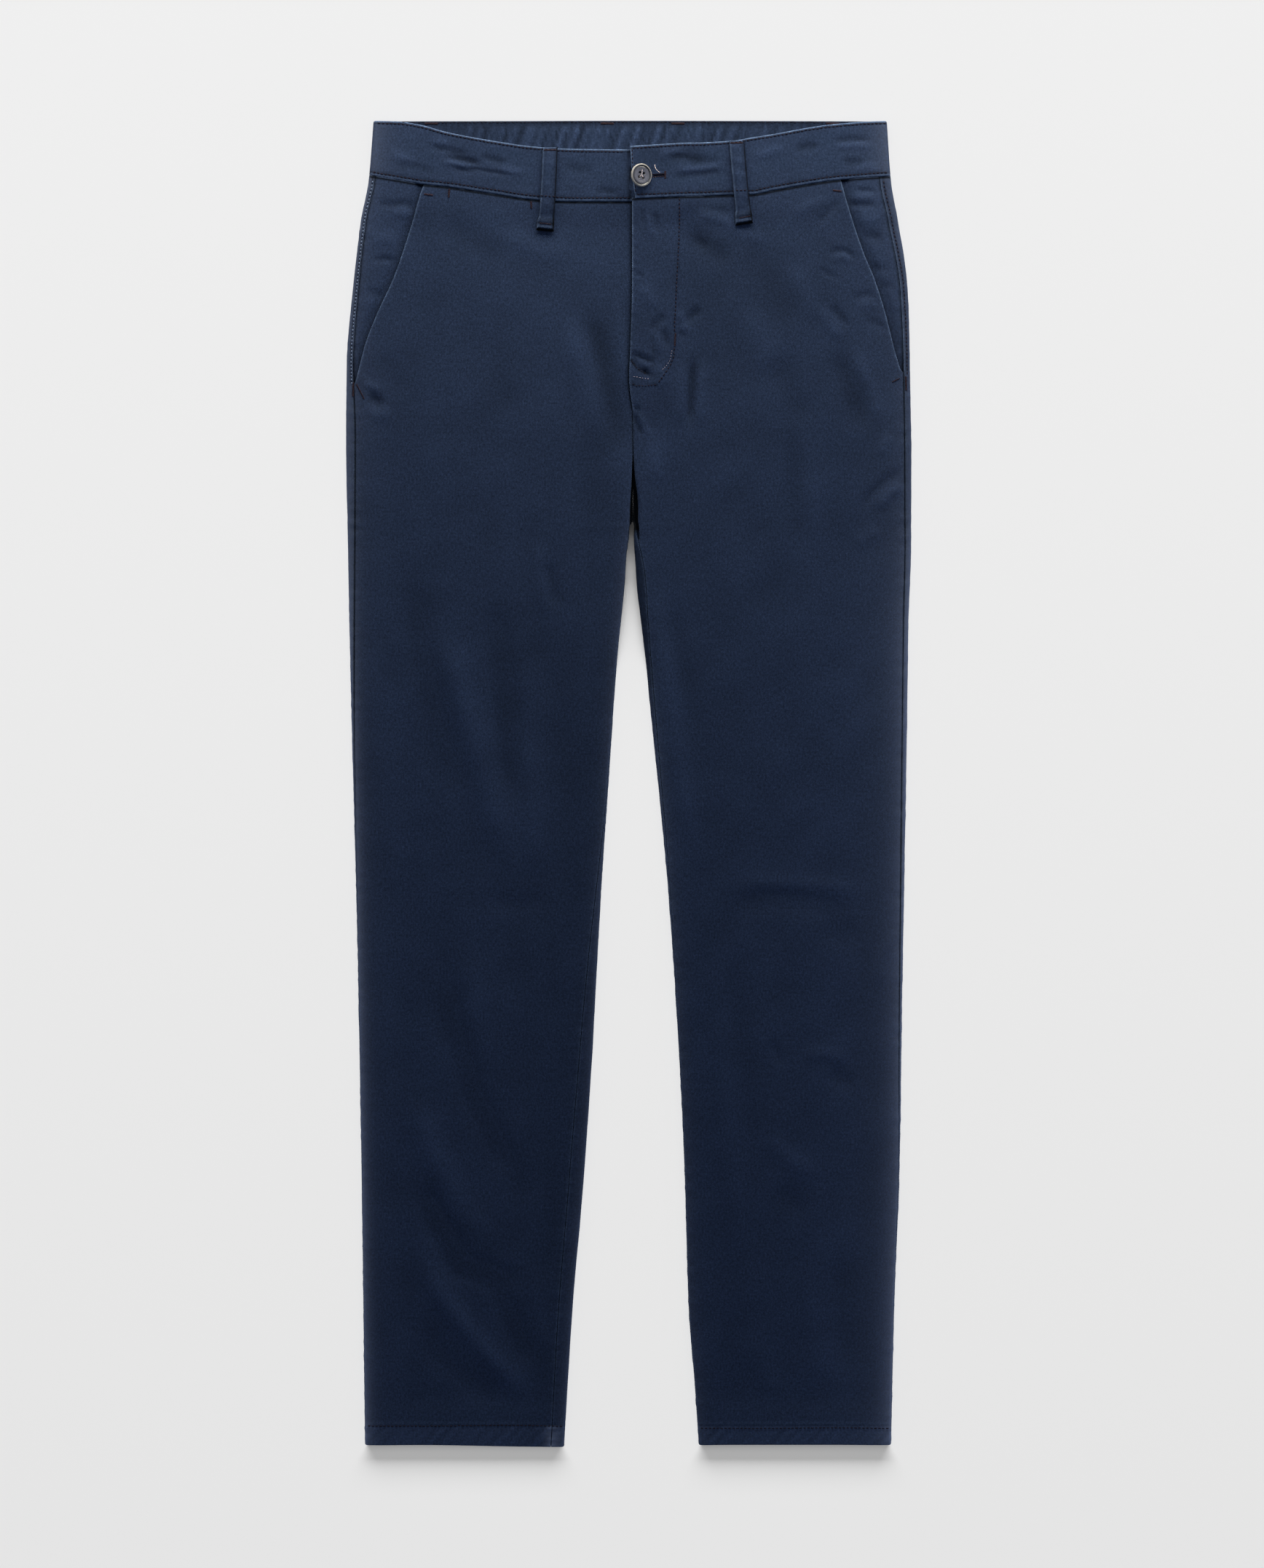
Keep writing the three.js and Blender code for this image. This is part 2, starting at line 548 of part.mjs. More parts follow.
// The places along the band, from the end of the underlap round both sides to the overlap's edge. Each gives the
// band's outside at a share of its height, from the upper edge to the seam.
function bandPlaces() {
  const radius = (BAND.top - BAND.floor) / 2;
  const heightShare = (waist, x, share) =>
    mix(along(waist, "x", x, "top"), along(waist, "x", x, "seam") - GAP / 2, share);
  const side = (half, reach) => (share) => {
    const waist = reach < 0 ? BACK_WAIST : half.waist;
    const at = (drop) => foldPoint({ edge: outerX(half, drop), inward: half.inward, radius, floor: BAND.floor }, reach);
    const drop = heightShare(waist, at(mix(0, LEVELS[0].drop, share)).x, share);
    const point = at(drop);
    if (half === LEFT && point.onTop) point.z += OVERLAP.rise * (1 - ease(OVERLAP.full, OVERLAP.end, point.x));
    return { point, drop };
  };
  const reachOf = (inset) => radius * HALF_TURN + inset - radius;
  const turns = steps(BAND_PLACES.turn).map((share) => mix(radius * HALF_TURN, -radius * HALF_TURN, share));
  const across = steps(BAND_PLACES.back).slice(1, -1);
  const sideX = (half) => outerX(half, BAND.middleDrop) + half.inward * radius;
  return [
    ...BAND_PLACES.rightInsets.map((inset) => side(RIGHT, reachOf(inset))),
    ...turns.map((reach) => side(RIGHT, reach)),
    ...across.map((place) => (share) => {
      const x = mix(sideX(RIGHT), sideX(LEFT), place);
      return { point: { x, z: BAND.floor, outX: 0, outZ: -1 }, drop: heightShare(BACK_WAIST, x, share) };
    }),
    ...turns.reverse().map((reach) => side(LEFT, reach)),
    ...BAND_PLACES.leftInsets.map((inset) => side(LEFT, reachOf(inset))),
  ];
}

function waistband() {
  const places = bandPlaces();
  const grid = (depth) =>
    steps(BAND_PLACES.down).map((share) =>
      places.map((place) => {
        const { point, drop } = place(share);
        return placed({ x: point.x - point.outX * depth, z: point.z - point.outZ * depth }, drop);
      }),
    );
  const strip = solidOf(wall({ outside: grid(0), inside: grid(BAND.thick) }));
  return geometryOf(strip.subtract(buttonhole()));
}

// The keyhole shape of the buttonhole, through the overlap only.
function buttonhole() {
  const { endX, width, eye, drop, curveSegments, clear } = BUTTONHOLE;
  const half = width / 2;
  const meet = Math.asin(half / eye);
  const outline = new THREE.Shape();
  outline.absarc(0, 0, eye, meet, 2 * Math.PI - meet, false);
  outline.lineTo(endX - BUTTON.x, -half);
  outline.lineTo(endX - BUTTON.x, half);
  const depth = BAND.thick + 2 * (GAP - clear);
  const cut = new THREE.ExtrudeGeometry(outline, { depth, bevelEnabled: false, curveSegments });
  cut.translate(BUTTON.x, LENGTH / 2 - drop, BAND.top + OVERLAP.rise - BAND.thick - GAP + clear);
  return solidOf(cut);
}

// The button with its thread shank, which stands on the underlap and passes through the eye of the buttonhole.
function button() {
  const { radius, thick, rim, dish, shank, sides } = BUTTON;
  const { underIn, underUp, topIn, topDown, dishIn } = BUTTON_EDGE;
  const base = BAND.top + OVERLAP.rise + GAP;
  const foot = BAND.top + GAP;
  const top = base + thick;
  const profile = [
    [0, foot],
    [shank, foot],
    [shank, base],
    [radius - underIn, base],
    [radius, base + underUp],
    [radius, top - topDown],
    [radius - topIn, top],
    [radius - rim, top],
    [radius - rim - dishIn, top - dish],
    [0, top - dish],
  ].map(([across, height]) => new THREE.Vector2(across, height));
  const disc = new THREE.LatheGeometry(profile, sides);
  disc.rotateX(HALF_TURN);
  let solid = solidOf(disc);
  for (let i = 0; i < BUTTON_HOLES.count; i += 1) {
    const angle = (2 * Math.PI * (i + 0.5)) / BUTTON_HOLES.count;
    const hole = new THREE.CylinderGeometry(BUTTON_HOLES.radius, BUTTON_HOLES.radius, 4 * thick, BUTTON_HOLES.sides);
    hole.rotateX(HALF_TURN);
    hole.translate(BUTTON_HOLES.circle * Math.cos(angle), BUTTON_HOLES.circle * Math.sin(angle), base);
    solid = solid.subtract(solidOf(hole));
  }
  const geometry = geometryOf(solid);
  geometry.translate(BUTTON.x, LENGTH / 2 - BUTTON.drop, 0);
  return geometry;
}

// A front belt loop: from the band's upper edge over the waist seam, its end turned under on the front.
function frontLoop({ half, topX, endX, startDrop, endDrop }) {
  const { width, thick, bow, bowTo, turnUp, turnRamp, across, settle } = BELT_LOOP;
  const shares = [...steps(LOOP_ROWS.even).map((share) => share * LOOP_ROWS.evenTo), ...LOOP_ROWS.end];
  const grid = (raised) =>
    shares.map((share) =>
      steps(across).map((side) => {
        const drop = mix(startDrop, endDrop, share);
        const middle = mix(topX, endX, share);
        const seam = along(half.waist, "x", middle, "seam");
        const under = mix(BAND.top, frontHeight(half, middle, drop), ease(...settle, drop - seam));
        const end = ease(endDrop - turnUp - turnRamp, endDrop - turnUp, drop);
        const rise = bow * Math.sin(Math.PI * clamp(share / bowTo, 0, 1));
        const height = under + GAP + rise + raised * thick * (1 + end);
        return placed({ x: middle + width * (side - 0.5), z: height }, drop);
      }),
    );
  return wall({ outside: grid(1), inside: grid(0) });
}

// A belt loop on the wearer's back, which the trousers lie on.
function backLoop({ x }) {
  const { thick, startDrop, endDrop } = BACK_LOOP;
  const loop = new THREE.BoxGeometry(BELT_LOOP.width, endDrop - startDrop, thick);
  loop.translate(x, LENGTH / 2 - (startDrop + endDrop) / 2, thick / 2);
  return loop;
}

// The shield behind the fly, sewn to the right front under the overlap and cut as wide as the band's underlap.
function flyShield() {
  const { width, thick, endDrop, endWidth, roundedFrom, rows, columns } = SHIELD;
  const startDrop = along(RIGHT.waist, "x", BAND.underlap, "seam") + GAP;
  const grid = (height) =>
    steps(rows).map((share) =>
      steps(columns).map((side) => {
        const drop = mix(startDrop, endDrop, share);
        const z = level(drop, "floor") + CLOTH + GAP + height;
        const reach = mix(width, endWidth, ease(roundedFrom, 1, share));
        return placed({ x: innerX(LEFT, drop) + reach * side, z }, drop);
      }),
    );
  return wall({ outside: grid(thick), inside: grid(0) });
}

// The closed zip, a plain strip beside the right front's edge, covered by the overlap.
function flyZip() {
  const grid = (depth) =>
    steps(ZIP.rows).map((share) =>
      steps(ZIP.columns).map((side) => {
        const drop = mix(ZIP.startDrop, ZIP.endDrop, share);
        const x = along(FLY_EDGES, "drop", drop, "under") + ZIP.fromEdge + ZIP.width * side;
        return placed({ x, z: frontHeight(RIGHT, x, drop) - depth }, drop);
      }),
    );
  return wall({ outside: grid(0), inside: grid(CLOTH) });
}

for (const half of [RIGHT, LEFT]) {
  addPiece("back_panel_" + half.name, backPanel(half), NAVY);
  addPiece("front_panel_" + half.name, frontPanel(half), NAVY);
  addPiece("pocket_facing_" + half.name, pocketFacing(half), NAVY);
}
addPiece("waistband", waistband(), NAVY);
for (const loop of FRONT_LOOPS) addPiece(loop.name, frontLoop(loop), NAVY);
for (const loop of BACK_LOOPS) addPiece(loop.name, backLoop(loop), NAVY);
addPiece("fly_shield", flyShield(), DARK_NAVY);
addPiece("fly_zip", flyZip(), DARK_NAVY);
addPiece("button", button(), PALE_BUTTON);

export default trousers;
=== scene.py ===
"""Navy chino trousers, buttoned and laid flat on their back, for the look of the part.

Sizes are in millimetres until a mesh is made: x to the viewer's right, which is the wearer's left, and a
drop
measured down from the back of the waist. Each piece of cloth is a thin shell on the form of its solid.
"""

import bpy
import numpy as np
from bpy.props import FloatProperty, FloatVectorProperty, PointerProperty
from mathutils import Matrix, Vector
from mathutils.bvhtree import BVHTree


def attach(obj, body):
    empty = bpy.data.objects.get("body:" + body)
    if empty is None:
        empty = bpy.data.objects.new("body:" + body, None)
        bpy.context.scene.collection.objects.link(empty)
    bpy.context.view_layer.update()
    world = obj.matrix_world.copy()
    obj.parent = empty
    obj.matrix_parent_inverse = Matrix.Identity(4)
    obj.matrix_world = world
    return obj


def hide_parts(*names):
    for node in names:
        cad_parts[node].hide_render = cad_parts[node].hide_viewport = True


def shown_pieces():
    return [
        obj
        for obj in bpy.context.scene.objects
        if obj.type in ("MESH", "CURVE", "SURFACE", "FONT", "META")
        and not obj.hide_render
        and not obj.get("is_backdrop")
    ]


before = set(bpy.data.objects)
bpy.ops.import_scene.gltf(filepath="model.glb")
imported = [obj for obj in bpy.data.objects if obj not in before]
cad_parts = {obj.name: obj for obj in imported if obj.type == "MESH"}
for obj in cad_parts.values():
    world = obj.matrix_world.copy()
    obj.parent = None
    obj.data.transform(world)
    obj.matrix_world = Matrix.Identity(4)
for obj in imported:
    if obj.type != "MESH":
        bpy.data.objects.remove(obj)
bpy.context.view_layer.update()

bl_info = {
    "name": "Navy chino trousers",
    "version": (1, 0, 0),
    "blender": (4, 5, 0),
    "location": "View3D > Sidebar > Trousers",
    "description": "Builds a pair of slim cotton chinos laid flat, piece by piece, with their sewing",
    "category": "Add Mesh",
}

MM = 0.001
QUARTER = np.pi / 2
LENGTH = 1050.0
CLOTH = 1.3
GAP = 0.3
HEM_DEPTH = 15.5
HEM_LINE = LENGTH - HEM_DEPTH  # where the hem is sewn, as a drop
HEM_THICK = 2.3
BAND_THICK = 2.6
BAND_FLOOR = 1.4  # the band's underside
BAND_RADIUS = 2.75  # of its folds at the sides
BAND_TOP = BAND_FLOOR + 2 * BAND_RADIUS
OVERLAP_RISE = 2.9  # the overlap's lift over the band, and over the panel below it
PANEL_RISE = 2.1
FLY_SHUT = 229  # drops of the fly's end, the fork and the start of the seat's curve
CROTCH = 319
SEAT_CURVE = 285
POCKET_UNDER = 28  # how far a facing runs under the front, and how far it lies below it
FACING_SINK = CLOTH + 1.6 * GAP
FOLD_SOFTNESS = 16  # over how much cloth a fold's crest falls, and how far inside the fold it is
FOLD_CREST = 9
WAIST_ROW = 43  # the panels' first row, and how far down the waist's curve bends the rows
WAIST_SPREAD = 110
TUCK = 0.6  # how far the panels reach up under the band
SPREAD = 0.65  # how much wider the look is than the solids, on each side
RIGHT_ROW = 1.5  # from each side seam to the row of stitches beside it
LEFT_ROW = 2.9
TAPE_COLOUR = (0.012, 0.018, 0.036)


def ease(start, end, place):
    """Nothing before start, one after end, and smooth between them."""
    share = np.clip((place - start) / (end - start), 0, 1)
    return share * share * (3 - 2 * share)


def mix(start, end, share):
    return start + (end - start) * share


def bell(distance, width):
    """One in the middle, and faded to nearly nothing at twice the width."""
    return np.exp(-((distance / width) ** 2))


def on_plan(x, drop, z):
    """The points of places seen from above, with their heights, as y runs up from the hems."""
    return np.stack([x, LENGTH / 2 - drop, z], axis=-1)


def smooth(at, value):
    """A curve through the values that never passes beyond its neighbours."""
    rise = np.diff(value) / np.diff(at)
    slope = np.concatenate([rise[:1], np.zeros(len(at) - 2), rise[-1:]])
    same = rise[:-1] * rise[1:] > 0
    slope[1:-1][same] = 2 * rise[:-1][same] * rise[1:][same] / (rise[:-1][same] + rise[1:][same])

    def curve(place):
        place = np.clip(place, at[0], at[-1])
        i = np.clip(np.searchsorted(at, place, side="right") - 1, 0, len(at) - 2)
        span = at[i + 1] - at[i]
        t = (place - at[i]) / span
        near = (1 + 2 * t) * (1 - t) ** 2 * value[i] + t * (1 - t) ** 2 * span * slope[i]
        far = t * t * (3 - 2 * t) * value[i + 1] - t * t * (1 - t) * span * slope[i + 1]
        return near + far

    return curve


def curves(rows):
    """The smooth curves of a table's columns over its first column."""
    table = np.array(rows, float)
    return [smooth(table[:, 0], column) for column in table[:, 1:].T]


# Heights of the flattened tube at each drop: where it lies, the top of its folds and the top between them
FLOOR, FOLD, MIDDLE = curves(
    [
        (43, 1.85, 6.5, 6.5), (66, 1.45, 6.5, 6.3), (90, 0, 6.2, 5.2), (160, 0, 6.2, 4.8),
        (229, 0, 6.2, 4.6), (319, 0, 6.2, 4.0), (500, 0, 6.0, 3.6), (1010, 0, 6.0, 3.7),
        (1034, 0, 6.3, 5.1), (1050, 0, 6.3, 5.1),
    ]
)


class Half:
    """One leg with its half of the hip. edge is the outline with the side seam's place inside it, inner
    the centre
    seam and then the leg's inner outline with its seam's place, waist the band's upper edge and seam."""

    def __init__(self, name, inward, edge, inner, waist, slant):
        self.name = name
        self.inward = inward
        outline, self.side_seam = curves(edge)
        inside, self.leg_seam = curves(inner)
        self.edge = lambda drop: outline(drop) - inward * SPREAD
        self.inner = lambda drop: inside(drop) + inward * SPREAD * ease(CROTCH, CROTCH + 12, drop)
        self.band_top, self.band_seam = curves(waist)
        self.slant = curves(slant)[0]
        self.pocket_point = slant[-1][0]


RIGHT = Half(
    "right",
    1,
    edge=[
        (0, -201.5, 4.9), (49, -205.6, 4.9), (78, -211.3, 4.4), (135, -218.2, 4.8), (193, -222.9, 5.3),
        (251, -223.4, 7.4), (332, -222.1, 5.8), (424, -220.3, 3.4), (510, -218.1, 1.4), (655, -214.4, 0.4),
        (827, -211.3, 0.2), (1050, -208.4, 0.2),
    ],
    inner=[
        (40, 3.05, 0), (229, 3.05, 0), (262, 3.4, 0), (308, 3.4, 0), (317, 3.3, 0), (321, 0.9, 0),
        (332, -0.6, 0), (343, -2.3, 0.1), (366, -3.7, 0.1), (424, -9.5, 0.2), (539, -17.6, 1.0),
        (597, -21.6, 3.4), (662, -25.4, 7.0), (730, -28.9, 9.8), (842, -36.5, 11.5), (943, -45.3, 11.0),
        (1050, -51.8, 10.4),
    ],
    waist=[
        (-205, 0.5, 43.9), (-184, 0.9, 47.3), (-164, 3.9, 50.6), (-144, 9.3, 52.6), (-106, 16.4, 58.2),
        (-73, 21.0, 63.0), (-42, 22.8, 64.6), (40, 23.6, 64.6),
    ],
    slant=[
        (48, -161.0), (57, -164.6), (83, -172.1), (124, -186.0), (153, -199.2), (175, -207.9),
        (194, -213.1), (208, -216.5),
    ],
)
LEFT = Half(
    "left",
    -1,
    edge=[
        (0, 203.8, 8.9), (49, 207.3, 8.9), (78, 212.5, 8.1), (135, 220.6, 6.2), (193, 222.3, 5.4),
        (280, 223.4, 5.4), (337, 223.2, 5.0), (395, 221.3, 4.3), (510, 219.5, 3.8), (712, 215.9, 2.2),
        (827, 214.2, 0.9), (943, 209.8, 0.3), (1050, 207.3, 0.2),
    ],
    inner=[
        (40, 2.95, 0), (229, 2.95, 0), (262, 3.3, 0), (308, 3.25, 0), (317, 3.15, 0), (321, 4.2, 0.6),
        (332, 4.6, 3.4), (354, 6.1, 6.5), (369, 7.0, 7.3), (395, 10.1, 5.8), (430, 14.2, 4.3),
        (481, 19.3, 3.4), (597, 30.8, 1.6), (712, 38.9, 0.7), (827, 44.7, 0.3), (943, 48.3, 0.2),
        (1000, 52.8, 0.2), (1050, 56.2, 0.2),
    ],
    waist=[
        (-1, 21.0, 62.6), (37, 18.7, 61.1), (83, 16.1, 59.2), (95, 14.0, 59.0), (113, 11.2, 55.7),
        (143, 5.8, 50.5), (161, 3.3, 47.9), (197, 0.8, 45.0), (207, 0.6, 44.4),
    ],
    slant=[
        (46, 167.6), (70, 174.4), (106, 186.5), (124, 194.0), (153, 203.3), (183, 210.8), (200, 215.9),
    ],
)
BACK_TOP, BACK_SEAM = curves(
    [(-205, 0.5, 43.9), (-110, 0.3, 42.3), (0, 0, 41.6), (110, 0.2, 42.4), (207, 0.6, 44.4)]
)
FLY_OVER, FLY_UNDER = curves(
    [(60, 2.6, 10.6), (127, 2.6, 10.6), (187, 0.9, 9.0), (203, 0.3, 5.5), (214, 0.9, 0.5), (229, 3.0, 3.0)]
)
# Below the fly the fronts part above the fork, from one edge to the other
FORK_TOP, FORK_END = 229, 332
FORK_RIGHT, FORK_LEFT = curves(
    [
        (229, 3.0, 3.0), (262, 3.3, 3.35), (274, 2.9, 3.9), (286, 2.4, 5.0), (298, 1.7, 6.6),
        (308, 1.2, 7.2), (319, 0.9, 7.2), (332, -0.6, 4.6),
    ]
)

# Creases placed one by one. Each row: its points as (x, drop), half width, and height, which is negative
# for a trough
FRONT_CREASES = [
    # the fly, the hip and the top of the right leg
    ([(-34, 145), (-20, 190), (-11, 238), (-8, 268)], 9, -0.8),
    ([(-50, 150), (-33, 205), (-21, 262)], 11, 0.75), ([(-12, 130), (-5, 180), (-2, 215)], 4, 0.35),
    ([(-150, 75), (-120, 100), (-90, 112)], 11, -0.35), ([(-110, 85), (-70, 105), (-40, 108)], 8, 0.35),
    ([(-208, 219), (-201, 222), (-194, 227)], 4.5, -0.9),
    ([(-213, 212), (-206, 209), (-196, 216)], 2.6, 0.5), ([(-205, 237), (-196, 233), (-186, 236)], 5, 0.45),
    ([(-198, 182), (-188, 203), (-176, 220)], 8, -0.3), ([(-120, 160), (-105, 200), (-96, 240)], 14, -0.3),
    ([(-66, 347), (-61, 368), (-58, 388)], 5.5, -0.8), ([(-74, 330), (-70, 362), (-66, 398)], 6, 0.45),
    ([(-109, 370), (-103, 424), (-95, 493), (-91, 550)], 9.5, -1.45),
    ([(-158, 388), (-137, 440), (-117, 510), (-99, 574), (-84, 606)], 12, 1.4),
    ([(-84, 474), (-78, 532), (-76, 584), (-82, 606)], 9, 0.8),
    ([(-176, 335), (-165, 405), (-148, 498), (-141, 550)], 12, -0.8),
    ([(-193, 420), (-186, 520), (-180, 640)], 9, 0.35), ([(-60, 400), (-52, 470), (-48, 560)], 10, -0.45),
    ([(-118, 618), (-84, 622), (-58, 615)], 8, -0.5),
    ([(-146, 642), (-142, 712), (-124, 770), (-98, 822), (-80, 864)], 10, -1.0),
    ([(-132, 640), (-118, 715), (-98, 765)], 12, 0.4),
    ([(-176, 757), (-159, 813), (-129, 868), (-97, 899)], 12, 1.15),
    ([(-165, 838), (-152, 874), (-133, 908), (-104, 917), (-77, 914)], 9.5, -1.8),
    ([(-169, 890), (-146, 936), (-117, 972), (-92, 998), (-75, 1021)], 9, 1.6),
    ([(-167, 942), (-152, 977), (-123, 1003), (-93, 1022)], 9, -0.8),
    ([(-105, 921), (-92, 954), (-76, 990)], 8, -1.0), ([(-62, 760), (-60, 850), (-66, 930)], 8, -0.35),
    ([(-78, 905), (-72, 945), (-62, 990)], 6, 0.4),
    # the fly, the hip and the top of the left leg
    ([(52, 185), (50.5, 202), (49.5, 222), (48.5, 246)], 3.4, -1.1),
    ([(58, 186), (57, 210), (55, 246)], 5, 0.55), ([(42, 190), (42, 215), (39, 245)], 5.5, 0.45),
    ([(90, 96), (106, 112), (118, 138), (128, 166)], 16, -0.42),
    ([(92, 145), (107, 180), (112, 205)], 10, 0.4), ([(128, 112), (140, 138), (148, 162)], 8, 0.45),
    ([(113, 180), (128, 212), (136, 246)], 12, -0.5), ([(129, 236), (130, 291), (137, 352)], 9, -0.42),
    ([(142, 240), (145, 290), (151, 350)], 9, 0.35), ([(163, 178), (176, 215), (186, 250)], 9, -0.7),
    ([(176, 178), (192, 212), (200, 246)], 6, 0.5), ([(159, 146), (166, 154), (175, 165)], 3.4, -0.55),
    ([(150, 146), (160, 163), (170, 176)], 5, 0.45),
    ([(156, 107), (165, 103), (173, 104), (182, 111)], 2.0, -0.6),
    ([(160, 112), (168, 108), (177, 112)], 2.4, 0.4), ([(150, 117), (158, 122), (168, 126)], 2.2, -0.35),
    ([(176, 142), (187, 138), (197, 139)], 2.2, -0.45), ([(180, 149), (190, 146), (198, 148)], 2.6, 0.3),
    ([(186, 158), (196, 161), (206, 168)], 2.8, -0.35), ([(146, 84), (157, 74), (168, 62)], 3, -0.5),
    ([(128, 77), (142, 68), (160, 60)], 4, 0.4),
    ([(220, 276), (205, 284), (192, 296), (182, 311)], 3.2, -0.5),
    ([(220, 288), (206, 296), (196, 310)], 4, 0.65), ([(200, 322), (190, 330), (178, 338)], 6, 0.4),
    ([(208, 248), (202, 258), (200, 268)], 4, 0.4), ([(40, 84), (60, 98), (84, 114)], 9, -0.75),
    ([(51, 93), (57, 97), (63, 102)], 3.6, -0.4), ([(70, 78), (90, 90), (114, 96)], 6, 0.4),
    ([(52, 66), (66, 70), (84, 73)], 3.2, -0.45), ([(54, 74), (68, 78), (84, 82)], 3.4, 0.35),
    ([(12, 348), (30, 441), (44, 539), (59, 609)], 8.5, 0.95),
    ([(26, 350), (42, 430), (60, 520)], 9, -0.45), ([(66, 640), (76, 768), (88, 915)], 9, 0.55),
    ([(84, 660), (92, 760), (102, 860)], 9, -0.35),
    ([(72, 612), (100, 604), (132, 605), (162, 607), (194, 613)], 6.5, 0.58),
    ([(78, 624), (113, 617), (148, 622), (184, 628)], 9, -0.7),
    ([(150, 640), (168, 646), (186, 640)], 10, -0.5), ([(158, 754), (169, 761), (181, 765)], 6.5, -0.6),
    ([(134, 741), (156, 740), (178, 745)], 5.5, 0.6), ([(113, 728), (118, 742), (124, 750)], 3.5, -0.5),
    ([(106, 803), (128, 824), (155, 840)], 8, 0.65), ([(112, 846), (128, 856), (144, 868)], 9, -0.5),
    ([(164, 890), (168, 950), (172, 1002)], 9, -0.5), ([(140, 900), (146, 960), (150, 1010)], 9, 0.35),
    ([(212, 640), (200, 662), (196, 690)], 5, 0.5), ([(120, 420), (134, 500), (142, 560)], 16, -0.3),
    ([(170, 360), (178, 440), (182, 520)], 12, 0.35), ([(96, 960), (110, 1000), (128, 1016)], 8, 0.35),
    # small gathers beside the fly's edge and round its end
    ([(9, 68), (11, 76), (12.5, 85)], 1.7, -0.45), ([(14, 72), (16, 84), (17, 96)], 2.2, 0.4),
    ([(20, 72), (21.5, 80), (22.5, 90)], 2.2, -0.45), ([(5, 122), (8, 123), (12, 124)], 1.7, -0.35),
    ([(30, 153), (23, 160), (16, 168)], 3.0, -0.65), ([(58, 148), (50, 155), (42, 162)], 3.2, -0.75),
    ([(27, 165), (29, 172), (31, 181)], 2.2, -0.7), ([(22, 168), (23, 176), (24, 186)], 2.4, 0.45),
    ([(38, 169), (41, 170), (45, 171)], 1.7, -0.5), ([(36, 150), (44, 158), (46, 172)], 3.4, 0.5),
    ([(19, 166), (19.4, 184), (19.5, 203)], 1.7, -0.35), ([(10, 130), (16, 141), (21, 151)], 4.5, 0.4),
    ([(-1, 185.4), (7, 187), (14, 189.4), (22, 193)], 1.7, -1.0),
    ([(4, 192), (9, 195), (14, 197.4)], 1.8, 0.8), ([(0, 188), (10, 196.5), (21, 205)], 1.7, -1.2),
    ([(3, 228), (6.5, 228.6), (10, 229.6)], 1.7, -0.6), ([(3.6, 231), (7, 241), (11, 252)], 1.9, -0.6),
    ([(8, 232), (12, 242), (16, 252)], 3, 0.45), ([(22, 192), (27, 202), (24, 214)], 4, 0.4),
    ([(14, 240), (19, 264), (23, 292)], 7, 0.45),
]

# On the wearer's back, where the cloth can only stand up from the surface
BACK_CREASES = [
    ([(-150, 120), (-110, 150), (-60, 160)], 14, 0.8), ([(150, 110), (112, 148), (66, 166)], 14, 0.8),
    ([(-100, 260), (-60, 285), (-22, 300)], 12, 0.9), ([(104, 255), (66, 284), (28, 302)], 12, 0.9),
    ([(-190, 300), (-150, 350), (-120, 420)], 13, 0.7), ([(186, 310), (150, 362), (122, 430)], 13, 0.7),
    ([(-170, 560), (-120, 575), (-60, 566)], 10, 0.9), ([(-160, 600), (-118, 612), (-70, 604)], 9, 0.7),
    ([(80, 570), (130, 582), (180, 572)], 10, 0.9), ([(90, 612), (136, 622), (186, 616)], 9, 0.7),
    ([(-170, 830), (-130, 880), (-90, 920)], 11, 0.8), ([(180, 840), (140, 892), (104, 940)], 11, 0.8),
]

BAND_CREASES = [
    ([(-162, 21), (-150, 22.5), (-137, 25), (-122, 27)], 2.0, -0.42),
    ([(-152, 29), (-134, 31.5), (-112, 36)], 1.7, -0.32), ([(-130, 37), (-112, 41), (-92, 44)], 1.8, -0.3),
    ([(-188, 35), (-170, 37), (-150, 42)], 2.4, -0.25), ([(-158, 18), (-150, 17.5), (-141, 19)], 2.6, 0.25),
    ([(-144, 28), (-130, 31), (-116, 34)], 2.2, -0.45), ([(-150, 33), (-136, 35), (-124, 39)], 2.6, 0.3),
    ([(-119, 29), (-108, 31), (-96, 35)], 2.4, -0.4), ([(-140, 38), (-130, 40), (-119, 41.5)], 2.2, -0.35),
    ([(-104, 38), (-92, 41), (-82, 41)], 3, 0.3), ([(-190, 24), (-180, 30), (-168, 33)], 4, 0.25),
    ([(-28, 58), (-20, 55.5), (-12, 57), (-6, 61)], 1.6, -0.45),
    ([(-52, 36), (-38, 40), (-26, 38)], 4, -0.25), ([(28, 31), (40, 29.5), (54, 31), (64, 29)], 2.4, -0.42),
    ([(44, 36), (58, 34), (74, 31)], 2.2, -0.3), ([(30, 47), (52, 44), (80, 41)], 3, -0.25),
    ([(32, 41), (52, 39), (78, 36)], 2.6, 0.3), ([(22, 29), (34, 26), (46, 25)], 3.4, 0.35),
    ([(96, 30), (112, 25), (126, 22)], 3.4, 0.3), ([(130, 24), (142, 21), (152, 20)], 2.8, -0.4),
    ([(160, 16.5), (176, 15.5), (194, 16)], 2.0, -0.4), ([(160, 21), (178, 20), (196, 21)], 2.6, 0.3),
    ([(168, 32), (178, 34), (188, 34)], 3, -0.35), ([(176, 39), (188, 37), (200, 38)], 3, 0.25),
]

